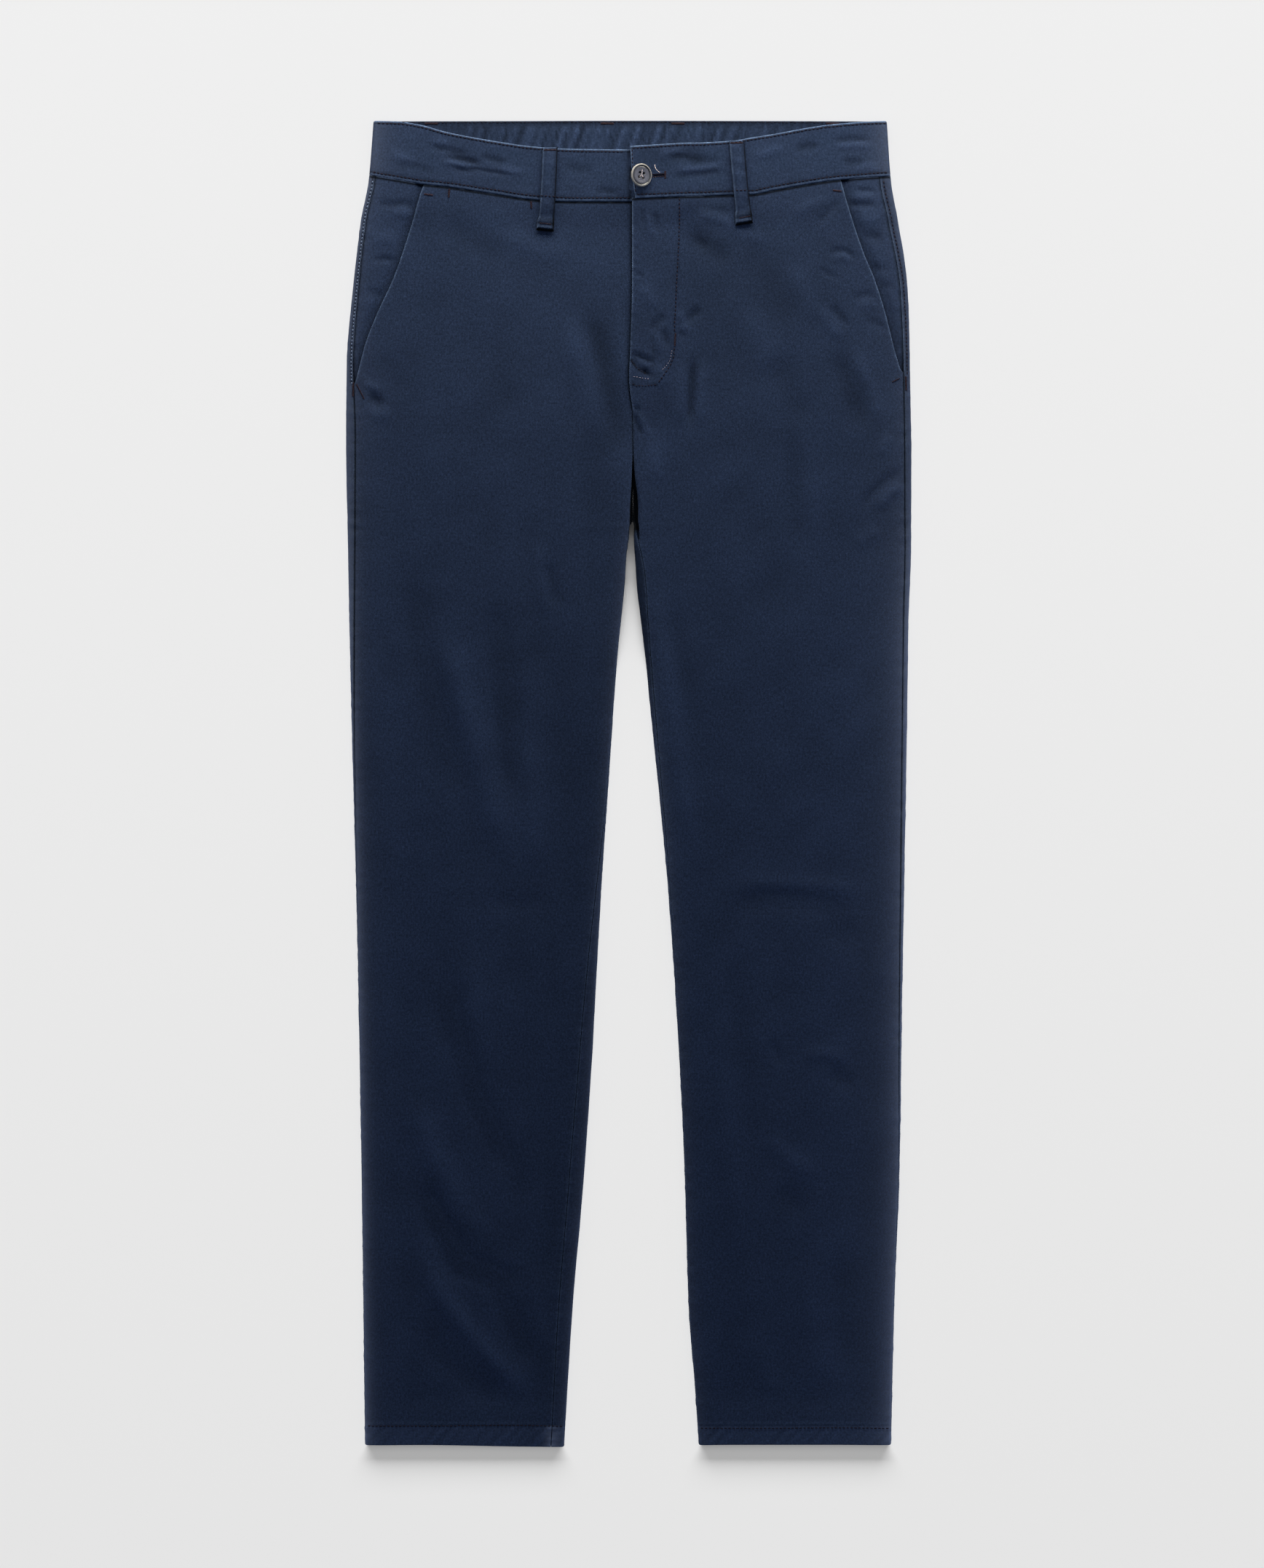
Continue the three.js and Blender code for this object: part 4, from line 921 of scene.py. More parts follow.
def make_panel(half, kind):
    look = bpy.context.scene.trouser_cloth
    front = kind == "front"
    rows = panel_rows()
    if front:
        grid = Grid(half, front_span, front_section, rows, column_rule(90, 8))
    else:
        grid = Grid(half, back_span, back_section, rows, column_rule(46, 18))
    x, drop = grid.x, grid.drop
    outer, inner = outer_radius(drop), inner_radius(drop)
    seam = half.edge(drop) + half.inward * half.side_seam(drop)
    from_side = np.abs(x - seam) + np.maximum(0, outer - grid.z) * (grid.face_z < 0)
    hidden_leg = 30 * (1 - ease(CROTCH - 25, CROTCH + 10, drop))
    leg_line = half.inner(drop) - half.inward * half.leg_seam(drop)
    from_leg = np.abs(x - leg_line) + np.maximum(0, inner - grid.z) * (grid.face_z < 0) + hidden_leg
    folds, small = cloth_relief(grid, FRONT_CREASES, look.creases, look.gathers, from_side, from_leg)
    folds = folds * grid.up
    below, _ = cloth_relief(grid, BACK_CREASES, look.creases, 0, from_side, from_leg)
    under = np.clip(-grid.face_z, 0, 1)
    small = small * (1 - under)
    if front and half is LEFT:
        pulled = ease(72, 90, drop) * (1 - ease(165, 185, drop)) * bell(grid.from_end, 4.5)
        small = small + 0.3 * ripple(drop - 0.4 * x, 7, 45) * pulled
    side_row = np.abs(x - seam) - (RIGHT_ROW if half is RIGHT else LEFT_ROW)
    side_row = np.where((x - seam) * half.inward < 0, side_row, 9)
    side_row = np.where(drop < half.pocket_point, side_row, 9)
    hem = ease(HEM_LINE - 0.6, HEM_LINE + 0.6, drop)
    thick = mix(CLOTH, HEM_THICK, hem)
    stitched = -0.14 * bell(drop - HEM_LINE, 1.1) * (1 - under)
    wear = edge_wear(grid.from_end, 1.0, 0.22, drop, 3)
    # Painted shading of the creases and gathers, and painted light and shade over the leg and its hip
    tone = relief_shading(folds, small, drop) + painted_light_and_shade(half, x, drop) * grid.up
    tone += dark_line(grid.from_waist - 1.3, 0.95, 1.2) * grid.up
    hem_shade, hem_fade = hem_tone(half, x, drop)
    tone += hem_shade
    # Painted shade on the left leg's inner side, from its edge to its seam below the fork
    if half is LEFT:
        inside_leg = np.abs(x - half.inner(drop)) / np.maximum(half.leg_seam(drop), 1)
        tone -= 0.42 * (1 - ease(0.75, 1.15, inside_leg)) * ease(320, 345, drop) * (1 - ease(400, 520, drop))
    tone += dark_line(grid.from_start, 0.8, 0.75) * grid.up * (drop > half.pocket_point)
    tone += dark_line(side_row, 1.0, 0.75 if half is RIGHT else 0.35)
    if front:
        slanted = drop < half.pocket_point
        tone += fly_tone(half, x, drop)
        tone += dark_line(grid.from_end, 1.0, 0.5) * (drop > FORK_TOP) * (drop < FORK_END)
        wear += edge_wear(grid.from_start, 0.9, mix(0.3, 0.6, 1 * slanted), drop, 4)
        fly = (drop < FLY_SHUT) & (half is LEFT)
        wear += np.where(fly, edge_wear(grid.from_end, 0.9, mix(0.5, 0.1, ease(110, 170, drop)), drop, 5), 0)
        thickened = 0.35 * np.exp(-((grid.from_start / 9) ** 4)) * slanted
        lift = (overlap_lift(x, drop) if half is LEFT else 0) + thickened * ease(0, 14, grid.from_waist)
    else:
        wear += edge_wear(grid.from_start, 1.0, 0.45, drop, 4)
        lift = np.maximum(0, below) * under
        # Painted shade deep in the fork, on the backs' inner faces above the crotch
        fork = ease(FORK_TOP, FORK_TOP + 50, drop) * (1 - ease(CROTCH, CROTCH + 12, drop))
        tone += dark_line(np.maximum(0, np.abs(x - half.inner(drop)) - 9), 3, 1.5) * fork
    wear += 0.1 * bell(drop - (HEM_LINE - 2.2), 1.3)
    wear += edge_wear(grid.from_hem, 1.0, 0.18, x, 6)
    relief = folds + small + stitched
    relief = np.where(grid.face_z < 0, np.maximum(relief, 0), relief)
    layers = built_wall(grid, thick, lift, relief)
    if front:
        least = CLOTH + thick + 0.35
        between = grid.up * (grid.from_end > 6) * (grid.from_start > 6)
        shortfall = np.maximum(0, least - layers[0][..., 2]) * between
        for layer in layers:
            layer[..., 2] += shortfall
    for layer in layers:
        layer[..., 2] = np.maximum(layer[..., 2], 0.02)
    node_name = kind + "_panel_" + half.name
    # fade: the painted sheen along the folds, with the pale wear of the hems
    fade = fold_sheen(half, x, drop) * np.clip(0.35 + grid.face_z, 0, 1) + hem_fade * grid.up
    return add_cloth(half.name + "_" + kind, layers, grid.across, drop, wear, tone, [node_name], fade=fade)


def make_facing(half):
    look = bpy.context.scene.trouser_cloth
    rows = panel_rows()
    rows = rows[rows <= half.pocket_point + 10]
    grid = Grid(half, facing_span, facing_section, rows, column_rule(18, 8))
    x, drop = grid.x, grid.drop
    seam = half.edge(drop) + half.inward * half.side_seam(drop)
    folds = creased(FACING_CREASES, x, drop) * look.creases * 1.7 * grid.up
    gathers = seam_gathers(half, drop, x, np.abs(x - seam), x * 0 + 99) * look.gathers
    outside = slant_inset(half, drop) - np.abs(x - half.edge(drop))
    relief = np.where(outside > 0, folds + gathers, np.minimum(folds + gathers, 0))
    wear = edge_wear(grid.from_start, 1.0, 0.1, drop, 7)
    # Painted shading of the facing's creases and gathers
    tone = relief_shading(folds, gathers) + dark_line(grid.from_waist - 1.3, 0.95, 1.2) + 0.1
    tone += dark_line(grid.from_start - 0.5, 0.9, 0.6)
    # Painted shadow on the facing under the front's edge, across the pocket opening
    tone += np.where(outside > -1, dark_line(np.maximum(0, outside - 0.4), 2.4, 0.45), 0)
    grid.from_hem = grid.from_hem * 0 + 99
    layers = built_wall(grid, CLOTH, 0, relief)
    node_name = "pocket_facing_" + half.name
    # fade: the painted sheen along the folds, weaker on the facing
    fade = fold_sheen(half, x, drop) * 0.5
    return add_cloth(half.name + "_facing", layers, grid.across, drop, wear, tone, [node_name], fade=fade)


class TROUSERS_OT_back_panels(bpy.types.Operator):
    """Add the two backs, which wrap round the folds of the legs to the seams"""

    bl_idname = "trousers.back_panels"
    bl_label = "Back panels"

    def execute(self, context):
        for half in (RIGHT, LEFT):
            panel = make_panel(half, "back")
        return {"FINISHED"}


class TROUSERS_OT_front_panels(bpy.types.Operator):
    """Add the two fronts, with their creases; the left one laps over the right one at the fly"""

    bl_idname = "trousers.front_panels"
    bl_label = "Front panels"

    def execute(self, context):
        for half in (RIGHT, LEFT):
            panel = make_panel(half, "front")
        return {"FINISHED"}


class TROUSERS_OT_pocket_facings(bpy.types.Operator):
    """Add the facings inside the slanted pocket openings"""

    bl_idname = "trousers.pocket_facings"
    bl_label = "Pocket facings"

    def execute(self, context):
        for half in (RIGHT, LEFT):
            facing = make_facing(half)
        return {"FINISHED"}


# Waistband


SLOT_MIDDLE = 24
SLOT_HALF = 4.6
SLOT_DEEP = 1.5
UNDERLAP_REACH = 240  # from each fold to the band's end beside it
OVERLAP_REACH = 204.7


def band_columns():
    """Reach or x of each column round the band, from the underlap's end to the overlap's edge."""
    quarter = BAND_RADIUS * QUARTER
    lines = np.array(EDGE_LINES + [4.7, 5.7])
    long_right = quarter + UNDERLAP_REACH - BAND_RADIUS
    long_left = quarter + OVERLAP_REACH - BAND_RADIUS
    right = np.concatenate([long_right - lines, np.arange(long_right - 8, quarter + 1, -2.3)])
    left = np.concatenate(
        [np.arange(quarter + 2, long_left - 44, 2.3), np.arange(long_left - 44, long_left - 6, 0.9)],
    )
    left = np.concatenate([left, long_left - lines[::-1]])
    turn = np.linspace(quarter, -quarter, 13)
    across = np.linspace(0, 1, 172)[1:-1]
    return right, turn, across, left


def band_rows():
    """Shares of the band's height, and distances from its upper edge and from its seam, of each row."""
    near = [(d, 0.0) for d in EDGE_LINES]
    between = [(0.0, s) for s in list(np.linspace(0.13, 0.5, 9)) + list(np.linspace(0.525, 0.665, 9))]
    between += [(0.0, s) for s in np.linspace(0.7, 0.87, 4)]
    far = [(-d, 1.0) for d in EDGE_LINES[::-1]]
    return np.array(near + between + far)


def make_band():
    """The waistband, one strip round the waist, with the buttonhole's slot sunk into the overlap."""
    look = bpy.context.scene.trouser_cloth
    right, turn, across, left = band_columns()
    fixed, share = band_rows().T
    fixed, share = fixed[:, None], share[:, None]

    def side(half, reach):
        reach = reach[None, :] + 0 * fixed
        back = reach < 0
        level = mix(0, WAIST_ROW, share) + 0 * reach
        x, _, _, _ = fold_point(half.edge(level), half.inward, BAND_RADIUS, BAND_FLOOR, 0, reach)
        top = np.where(back, BACK_TOP(x), half.band_top(x))
        seam = np.where(back, BACK_SEAM(x), half.band_seam(x)) - GAP / 2
        drop = top + fixed + share * (seam - top)
        x, z, face_x, face_z = fold_point(half.edge(drop), half.inward, BAND_RADIUS, BAND_FLOOR, 0, reach)
        lapped = (half is LEFT) * (reach > BAND_RADIUS * QUARTER)
        z = z + OVERLAP_RISE * (1 - ease(40, 60, x)) * lapped
        girth = half.inward * (reach + 400)
        return x, z, face_x, face_z, drop, -girth, drop - top, seam - drop

    x = mix(RIGHT.edge(20) + BAND_RADIUS, LEFT.edge(20) - BAND_RADIUS, across)[None, :] + 0 * fixed
    top, seam = BACK_TOP(x), BACK_SEAM(x) - GAP / 2
    drop = top + fixed + share * (seam - top)
    behind = (x, BAND_FLOOR + 0 * x, 0 * x, 0 * x - 1, drop, x, drop - top, seam - drop)
    blocks = [side(RIGHT, right), side(RIGHT, turn), behind, side(LEFT, turn[::-1]), side(LEFT, left)]
    joined = [np.concatenate(parts, axis=1) for parts in zip(*blocks)]
    x, z, face_x, face_z, drop, girth, from_top, from_seam = joined
    ends = np.abs(np.concatenate([[0], np.cumsum(np.hypot(np.diff(x[20]), np.diff(z[20])))]))
    from_end = np.minimum(ends, ends[-1] - ends)[None, :] + 0 * x
    up = np.clip(face_z, 0, 1)
    under = np.clip(-face_z, 0, 1)
    lapped = (x > 30) & (z < 7.5) & (face_z > 0.5) & (ends[None, :] < 60)
    folds = creased(BAND_CREASES, x, drop) * look.creases * 2.1 * up
    gathers = 0.12 * ripple(x, 7, 51) * np.exp(-((from_top - 2) ** 2) / 8) * up
    gathers += 0.14 * ripple(x, 9, 52) * bell(from_seam, 7) * up
    uneven = 0.1 * softness(x, drop, 53, 20, 70) * up
    stitch_line = bell(from_top - 2.1, 0.8) + bell(from_seam - 2.7, 0.8)
    relief = folds + (gathers - 0.16 * stitch_line * up) * look.gathers + uneven
    relief = np.where(lapped, np.minimum(relief, 0), relief)
    slot = np.abs(x - SLOT_MIDDLE) < SLOT_HALF
    depth = SLOT_DEEP * slot * np.exp(-(((drop - slot_drop(x)) / 0.5) ** 4)) * (z > 8.5)
    relief = relief - depth
    inside = puckers_inside(x, drop, from_top) * under * look.gathers
    edge = np.minimum(np.minimum(from_top, from_seam), from_end)
    drawn = rounding(edge, BAND_THICK)
    layers = []
    for sunk, sign in ((drawn, 0), (BAND_THICK - drawn, 1)):
        lifted = inside * mix(0.35, 1.0, sign)
        px = x + face_x * (relief * (1 - sign * slot) - sunk)
        pz = z + face_z * (relief * (1 - sign * slot) - sunk) + lifted
        layers.append(on_plan(px, drop, np.maximum(pz, 0.6)))
    wear = edge_wear(from_top, 0.9, 0.95, x, 61) * mix(0.35, 1, up)
    wear += edge_wear(from_seam - 0.6, 0.7, 0.95, x, 62)
    wear += edge_wear(from_end, 1.1, 0.9, drop, 63) * (x < 20)
    # Painted shading of the band's creases and gathers, and painted shade in the buttonhole's slot
    tone = 2 * relief_shading(folds, gathers) + 0.04 - 0.7 * (depth > 0.4)
    below_edge = ease(1.5, 3, from_top) * (1 - ease(10, 26, from_top))
    tone -= 0.2 * up * ease(2, 12, x) * (1 - ease(52, 66, x)) * below_edge
    tone += dark_line(from_seam - 2.7, 0.75, 0.6) * up + dark_line(from_top - 2.1, 0.7, 0.55) * up
    tone += dark_line(from_top - 1.2, 0.6, 0.3) * under
    # Painted shadow on the underlap beside the overlap's edge
    tone += dark_line(np.maximum(0, 1.6 - x), 2.0, 0.8) * (x < 1.6) * (x > -8) * up * (z < 8)
    # Painted shade in the troughs of the puckers inside the band and painted light on their ridges, over a
    # darker inside
    tone += under * (np.clip(0.5 * inside - 0.45, -0.5, 0.35) + 0.16 * ripple(x, 6, 64))
    # fade: a painted sheen along the band's folds at the sides
    fade = 1.2 * np.exp(-np.abs(x - half_edge(x, drop)) / 9) * up
    return add_cloth("band", layers, girth, drop, wear, tone, ["waistband"], fade=fade)


def half_edge(x, drop):
    return np.where(x < 0, RIGHT.edge(drop), LEFT.edge(drop))


def slot_drop(x):
    """The buttonhole's line across the overlap."""
    return 44.6 - 0.06 * (x - 20)


def puckers_inside(x, drop, from_top):
    """Upright puckers of the band across the wearer's back, deepest right of the middle of its right
    half."""
    strongest = bell(x + 42, 52) + 0.5 * bell(x - 60, 60)
    lean = x + 0.35 * (drop - 12)
    pucker = ripple(lean, 9.5, 71) + 0.5 * ripple(lean, 5.3, 72)
    fade = ease(2.2, 9, from_top)
    return (0.45 + 0.75 * strongest) * (0.75 + pucker) * fade


class TROUSERS_OT_waistband(bpy.types.Operator):
    """Add the waistband, with its worn edges, its puckered inside and the buttonhole's slot"""

    bl_idname = "trousers.waistband"
    bl_label = "Waistband"

    def execute(self, context):
        band = make_band()
        return {"FINISHED"}


# Belt loops, fly, button

LOOP_WIDTH = 11.0
LOOP_THICK = 1.5
BACK_LOOP_LENGTH = 62.0
BACK_LOOP_THICK = 1.1
LOOP_EDGE = 1.9  # the back loops' upper ends, as a drop
FRONT_LOOPS = [
    (RIGHT, -62.3, -65.9, 22.0, 86.6, 1.4),
    (LEFT, 85.3, 91.8, 16.4, 81.4, -2.2),
]
BACK_LOOPS = [
    ("right_side", -156.5),
    ("right", -17.0),
    ("left", 39.0),
    ("left_side", 161.7),
]


def from_rim(side, down, length):
    """How far inside a loop's nearest edge each place is."""
    return np.minimum(np.minimum(side, LOOP_WIDTH - side), np.minimum(down, length - down))


def make_front_loop(half, top_x, end_x, start, end, lean):
    """A loop over the band, bowed up from it, its lower end turned under into a thick bar."""
    near = np.array([0, 0.06, 0.25, 0.65, 1.3])
    sides = np.concatenate([near, np.linspace(1.9, LOOP_WIDTH - 1.9, 9), LOOP_WIDTH - near[::-1]])
    length = end - start
    downs = np.concatenate(
        [near, np.linspace(2, length - 10, 40), np.linspace(length - 9.4, length - 1.6, 14)],
    )
    downs = np.concatenate([downs, length - near[::-1]])
    side, down = np.meshgrid(sides, downs)
    share = down / length
    drop = start + down
    middle = mix(top_x, end_x, share) + 0.5 * np.sin(np.pi * share) * np.sign(lean)
    x = middle + side - LOOP_WIDTH / 2
    slope = lean * (side / LOOP_WIDTH - 0.5)
    drop = drop + slope * ease(0.6, 1, share) - 0.03 * (side - LOOP_WIDTH / 2) * (1 - share)
    seam = half.band_seam(middle)
    panel = front_height(half, middle, drop)
    under = mix(BAND_TOP, panel, ease(seam + 1, seam + 13, drop))
    bow = 1.3 * np.sin(np.pi * np.clip(share / 0.86, 0, 1)) ** 0.8
    bar = ease(length - 11.0, length - 5.6, down)
    thick = LOOP_THICK * (1 + 0.7 * bar)
    x = middle + (x - middle) * (1 + 0.15 * bar) - 0.45 * bar
    lumps = 0.18 * softness(x, drop, 81 + half.inward, 5, 16) + 0.25 * bell(down - 13, 3) * (half is RIGHT)
    crown = 0.25 * np.sin(np.pi * side / LOOP_WIDTH)
    drawn = rounding(from_rim(side, down, length), thick)
    pressed = -0.35 * bell(down - 2.2, 1.5) - 0.22 * bell(length - down - 4.2, 1.1)
    outside = under + GAP + bow + thick + lumps + crown + pressed
    # The inside reaches past the sides and the end and is painted dark by under: a painted shadow round the
    # loop
    wider = x + 0.55 * np.clip((x - middle) / 3, -1, 1)
    longer = drop + 1.5 * ease(0.9, 1, share)
    layers = [
        on_plan(x, drop, outside - drawn),
        on_plan(wider, longer, np.maximum(outside - thick + drawn, under + 0.1)),
    ]
    from_side = np.minimum(side, LOOP_WIDTH - side)
    wear = edge_wear(side, 0.8, 0.4, drop, 82) + edge_wear(down, 1.2, 0.5, x, 83)
    wear += edge_wear(length - down - 1.8, 1.0, 0.35, x, 84) * (0.6 + 0.6 * ripple(x, 3.4, 86))
    # Painted shading: paler on the lumps, pressed lines at the stitches and the bar, and painted shadow at the
    # top of the end's bulge, along the right side and at the end
    tone = 0.3 * lumps + dark_line(from_side - 1.9, 0.7, 0.18) + dark_line(length - down - 4.4, 1.3, 0.45)
    tone += dark_line(length - down - 7.6, 1.6, 0.3) + dark_line(LOOP_WIDTH - side, 0.8, 0.75)
    tone += dark_line(length - down, 0.6, 0.9)
    node_name = "belt_loop_front_" + half.name
    loop = add_cloth("front_loop_" + half.name, layers, x, drop, wear, tone, [node_name], under=-0.9)
    return loop


def make_back_loop(name, middle):
    """A flat loop on the surface under the wearer's back."""
    near = np.array([0, 0.06, 0.2, 0.55, 1.2])
    sides = np.concatenate([near, np.linspace(2, LOOP_WIDTH - 2, 6), LOOP_WIDTH - near[::-1]])
    length = BACK_LOOP_LENGTH
    downs = np.concatenate([near, np.linspace(2, length - 2, 30), length - near[::-1]])
    side, down = np.meshgrid(sides, downs)
    x = middle + side - LOOP_WIDTH / 2
    drawn = rounding(from_rim(side, down, length), BACK_LOOP_THICK)
    heights = (0.02 + BACK_LOOP_THICK - drawn, 0.02 + drawn)
    layers = [np.stack([x, LENGTH / 2 - LOOP_EDGE - down, z], axis=-1) for z in heights]
    wear = edge_wear(np.minimum(side, LOOP_WIDTH - side), 0.8, 0.4, down, 85)
    loop = add_cloth("back_loop_" + name, layers, x, down, wear, 0 * x, ["belt_loop_back_" + name])
    return loop


class TROUSERS_OT_belt_loops(bpy.types.Operator):
    """Add the two loops on the front and the four on the wearer's back"""

    bl_idname = "trousers.belt_loops"
    bl_label = "Belt loops"

    def execute(self, context):
        for loop in FRONT_LOOPS:
            make_front_loop(*loop)
        for name, middle in BACK_LOOPS:
            make_back_loop(name, middle)
        return {"FINISHED"}


SHIELD_END = 222
SHIELD_THICK = 1.0
ZIP_TOP, ZIP_END, ZIP_WIDTH = 70, 204, 16


def strip(name, span, heights, start, end, thick, nodes, slot):
    """A hidden strip of cloth under the overlap."""
    near = np.array([0, 0.06, 0.25, 0.5, 1.2])
    shares = np.linspace(0, 1, 12)
    drops = np.linspace(start, end, 60)
    low, high = span(drops)
    width = (high - low)[:, None]
    side = np.concatenate([near, np.linspace(2, 3, 2)])[None, :] + 0 * width
    middle = mix(3.5, width - 3.5, shares[None, :])
    side = np.concatenate([side, middle, width - side[:, ::-1]], axis=1)
    x = low[:, None] + side
    drop = drops[:, None] + 0 * x
    z = heights(x, drop)
    ends = np.minimum(drop - start, end - drop)
    drawn = rounding(np.minimum(np.minimum(side, width - side), ends), thick)
    layers = [on_plan(x, drop, z - d) for d in (drawn, thick - drawn)]
    return add_cloth(name, layers, x, drop, 0 * x, 0 * x, nodes, slot)


class TROUSERS_OT_fly(bpy.types.Operator):
    """Add what the overlap hides: the shield and the tape of the closed zip"""

    bl_idname = "trousers.fly"
    bl_label = "Fly shield and zip"

    def execute(self, context):
        seam = float(RIGHT.band_seam(36)) + GAP

        def shield_span(drop):
            narrowed = ease(0.8, 1, (drop - seam) / (SHIELD_END - seam))
            return LEFT.inner(drop), LEFT.inner(drop) + mix(34, 14, narrowed)

        def shield_height(x, drop):
            return FLOOR(drop) + CLOTH + GAP + SHIELD_THICK + 0 * x

        def zip_span(drop):
            start = FLY_UNDER(drop) + 1.5 * GAP
            return start, start + ZIP_WIDTH

        def zip_height(x, drop):
            return front_height(RIGHT, x, drop)

        spans = (shield_span, shield_height, seam, SHIELD_END, SHIELD_THICK)
        shield = strip("shield", *spans, ["fly_shield"], "navy_twill")
        tape = strip("closed_zip", zip_span, zip_height, ZIP_TOP, ZIP_END, CLOTH, ["fly_zip"], "zip_tape")
        return {"FINISHED"}


def revolved(profile, sides):
    """Points and quads of a profile of (radius, height) turned about its axis."""
    angles = np.linspace(0, 2 * np.pi, sides, endpoint=False)
    rings = np.array([[(r * np.cos(a), r * np.sin(a), h) for a in angles] for r, h in profile])
    index = np.arange(len(profile) * sides).reshape(len(profile), sides)
    after = np.roll(index, -1, axis=1)
    faces = np.stack([index[:-1], after[:-1], after[1:], index[1:]], axis=-1).reshape(-1, 4)
    return rings.reshape(-1, 3), faces


# The button's section: its shank as (radius, height), then its back, rim and face as (share of radius, height)
BUTTON_SHANK = [(0.05, -4.6), (1.2, -4.5), (1.3, -0.4), (2.4, 0.0)]
BUTTON_FACE = [
    (0.82, 0.1), (0.95, 0.55), (1, 1.3), (0.992, 1.95), (0.965, 2.4), (0.925, 2.62), (0.88, 2.62),
    (0.84, 2.4), (0.805, 2.0), (0.775, 1.95), (0.735, 2.2), (0.68, 2.26), (0.6, 2.16), (0.5, 2.05),
]


def button_points(radius):
    """The button as rings about its axis: shank, back, rounded rim and a face that dips in the middle."""
    profile = BUTTON_SHANK + [(radius * share, height) for share, height in BUTTON_FACE]
    profile += [(r, 1.95) for r in np.linspace(radius * 0.46, 0.05, 26)]
    return revolved(profile, 96)


HOLE_SPREAD = 2.45
HOLE_RADIUS = 1.05
HOLE_DEEP = 1.7
BUTTON_PLACE = (9.3, 44.8)
BUTTON_RISE = 3.0
BUTTON_SPIN = np.radians(-9)


def placed_on_button(points, kit):
    """Points of the button's own frame, tilted and moved to where it is sewn."""
    tilt = -kit.tilt
    turn = np.array([[np.cos(tilt), 0, -np.sin(tilt)], [0, 1, 0], [np.sin(tilt), 0, np.cos(tilt)]])
    along, aside = np.cos(BUTTON_SPIN), np.sin(BUTTON_SPIN)
    spun = np.array([[along, -aside, 0], [aside, along, 0], [0, 0, 1]])
    return points @ (spun @ turn).T + on_plan(*BUTTON_PLACE, BAND_TOP + OVERLAP_RISE + BUTTON_RISE)


def make_button():
    kit = bpy.context.scene.trouser_fastening
    whole = kit.radius / MM
    points, faces = button_points(whole)
    top = points[:, 2] > 1.5
    radius = np.hypot(points[:, 0], points[:, 1])
    inner = radius < whole * 0.5
    for corner in range(4):
        angle = QUARTER * (corner + 0.5)
        away = np.hypot(
            points[:, 0] - HOLE_SPREAD * np.cos(angle), points[:, 1] - HOLE_SPREAD * np.sin(angle),
        )
        sunk = HOLE_DEEP * (1 - ease(HOLE_RADIUS * 0.7, HOLE_RADIUS * 1.1, away))
        points[:, 2] -= np.where(top & inner, sunk, 0)
    # The rim's mask: the button's own paler rim, made paler still as a painted highlight
    worn = ease(0.87, 0.92, radius / whole) * ease(1.0, 2.3, points[:, 2])
    worn = np.where(points[:, 2] < -0.2, 0, worn)
    # Painted shade in the four holes and in the groove inside the rim
    dark = np.where(top & inner & (points[:, 2] < 1.7), -0.97, 0.0)
    dark = dark - 0.93 * (bell(radius / whole - 0.79, 0.075) * top)
    points = placed_on_button(points, kit)
    horn = button_material(kit)
    return add_piece("horn_button", points, faces, horn, "button_shell", ["button"], None, worn, dark)


def button_material(kit):
    """Grey horn face with a pale, smooth rim, whose paleness is partly a painted highlight."""
    material, tree, shader = new_material("button horn")
    cloud = noise(tree, (-900, 0), node(tree, "TexCoord", (-1100, 0)), 380.0, 4.0, 0.65)
    face = blend(tree, (-650, 100), scaled(kit.face, 0.7), scaled(kit.face, 1.35), cloud)
    rimmed = blend(tree, (-450, 100), face, scaled(kit.rim, 1), painted(tree, (-650, -150), "wear"))
    shade = toned(tree, (-650, -350))
    final = node(tree, "VectorMath", (-250, 50), rimmed, operation="SCALE", Scale=shade)
    dress(tree, shader, Base_Color=final, Roughness=0.32)
    dress(tree, shader, Specular_IOR_Level=0.5, Specular_Tint=(0.75, 0.85, 1.0, 1))
    return material


class TROUSERS_OT_button(bpy.types.Operator):
    """Add the four-hole button on its shank, leaning as it is sewn"""

    bl_idname = "trousers.button"
    bl_label = "Button"

    def execute(self, context):
        make_button()
        return {"FINISHED"}


# Sewing


def cloth_surface():
    """Everything that a thread can lie on, for finding its height."""
    points, faces, offset = [], [], 0
    panels = [half + kind for half in ("right", "left") for kind in ("_front", "_back", "_facing")]
    for name in panels + ["band", "front_loop_right", "front_loop_left"]:
        mesh = bpy.data.objects[name].data
        co = np.zeros(len(mesh.vertices) * 3, np.float32)
        mesh.vertices.foreach_get("co", co)
        quads = np.zeros(len(mesh.polygons) * 4, np.int32)
        mesh.loops.foreach_get("vertex_index", quads)
        points += (co.reshape(-1, 3) / MM).tolist()
        faces += (quads.reshape(-1, 4) + offset).tolist()
        offset += len(mesh.vertices)
    return BVHTree.FromPolygons(points, faces)


def on_cloth(tree, x, drop):
    """The point of the cloth under a place seen from above, and its normal."""
    hit, normal, _, _ = tree.ray_cast(Vector((x, LENGTH / 2 - drop, 60)), Vector((0, 0, -1)))
    if hit is None:
        return None
    return np.array(hit), np.array(normal)


def walked(points, step):
    """Places a step apart along a line of (x, drop) points, with the direction at each."""
    line = np.array(points, float)
    lengths = np.hypot(*np.diff(line, axis=0).T)
    total = np.concatenate([[0], np.cumsum(lengths)])
    count = max(1, int(total[-1] / step))
    at = (np.arange(count) + 0.5) * total[-1] / count
    x, drop = np.interp(at, total, line[:, 0]), np.interp(at, total, line[:, 1])
    ahead_x = np.interp(at + 0.4, total, line[:, 0]) - np.interp(at - 0.4, total, line[:, 0])
    ahead_drop = np.interp(at + 0.4, total, line[:, 1]) - np.interp(at - 0.4, total, line[:, 1])
    return np.stack([x, drop, ahead_x, ahead_drop], axis=1)


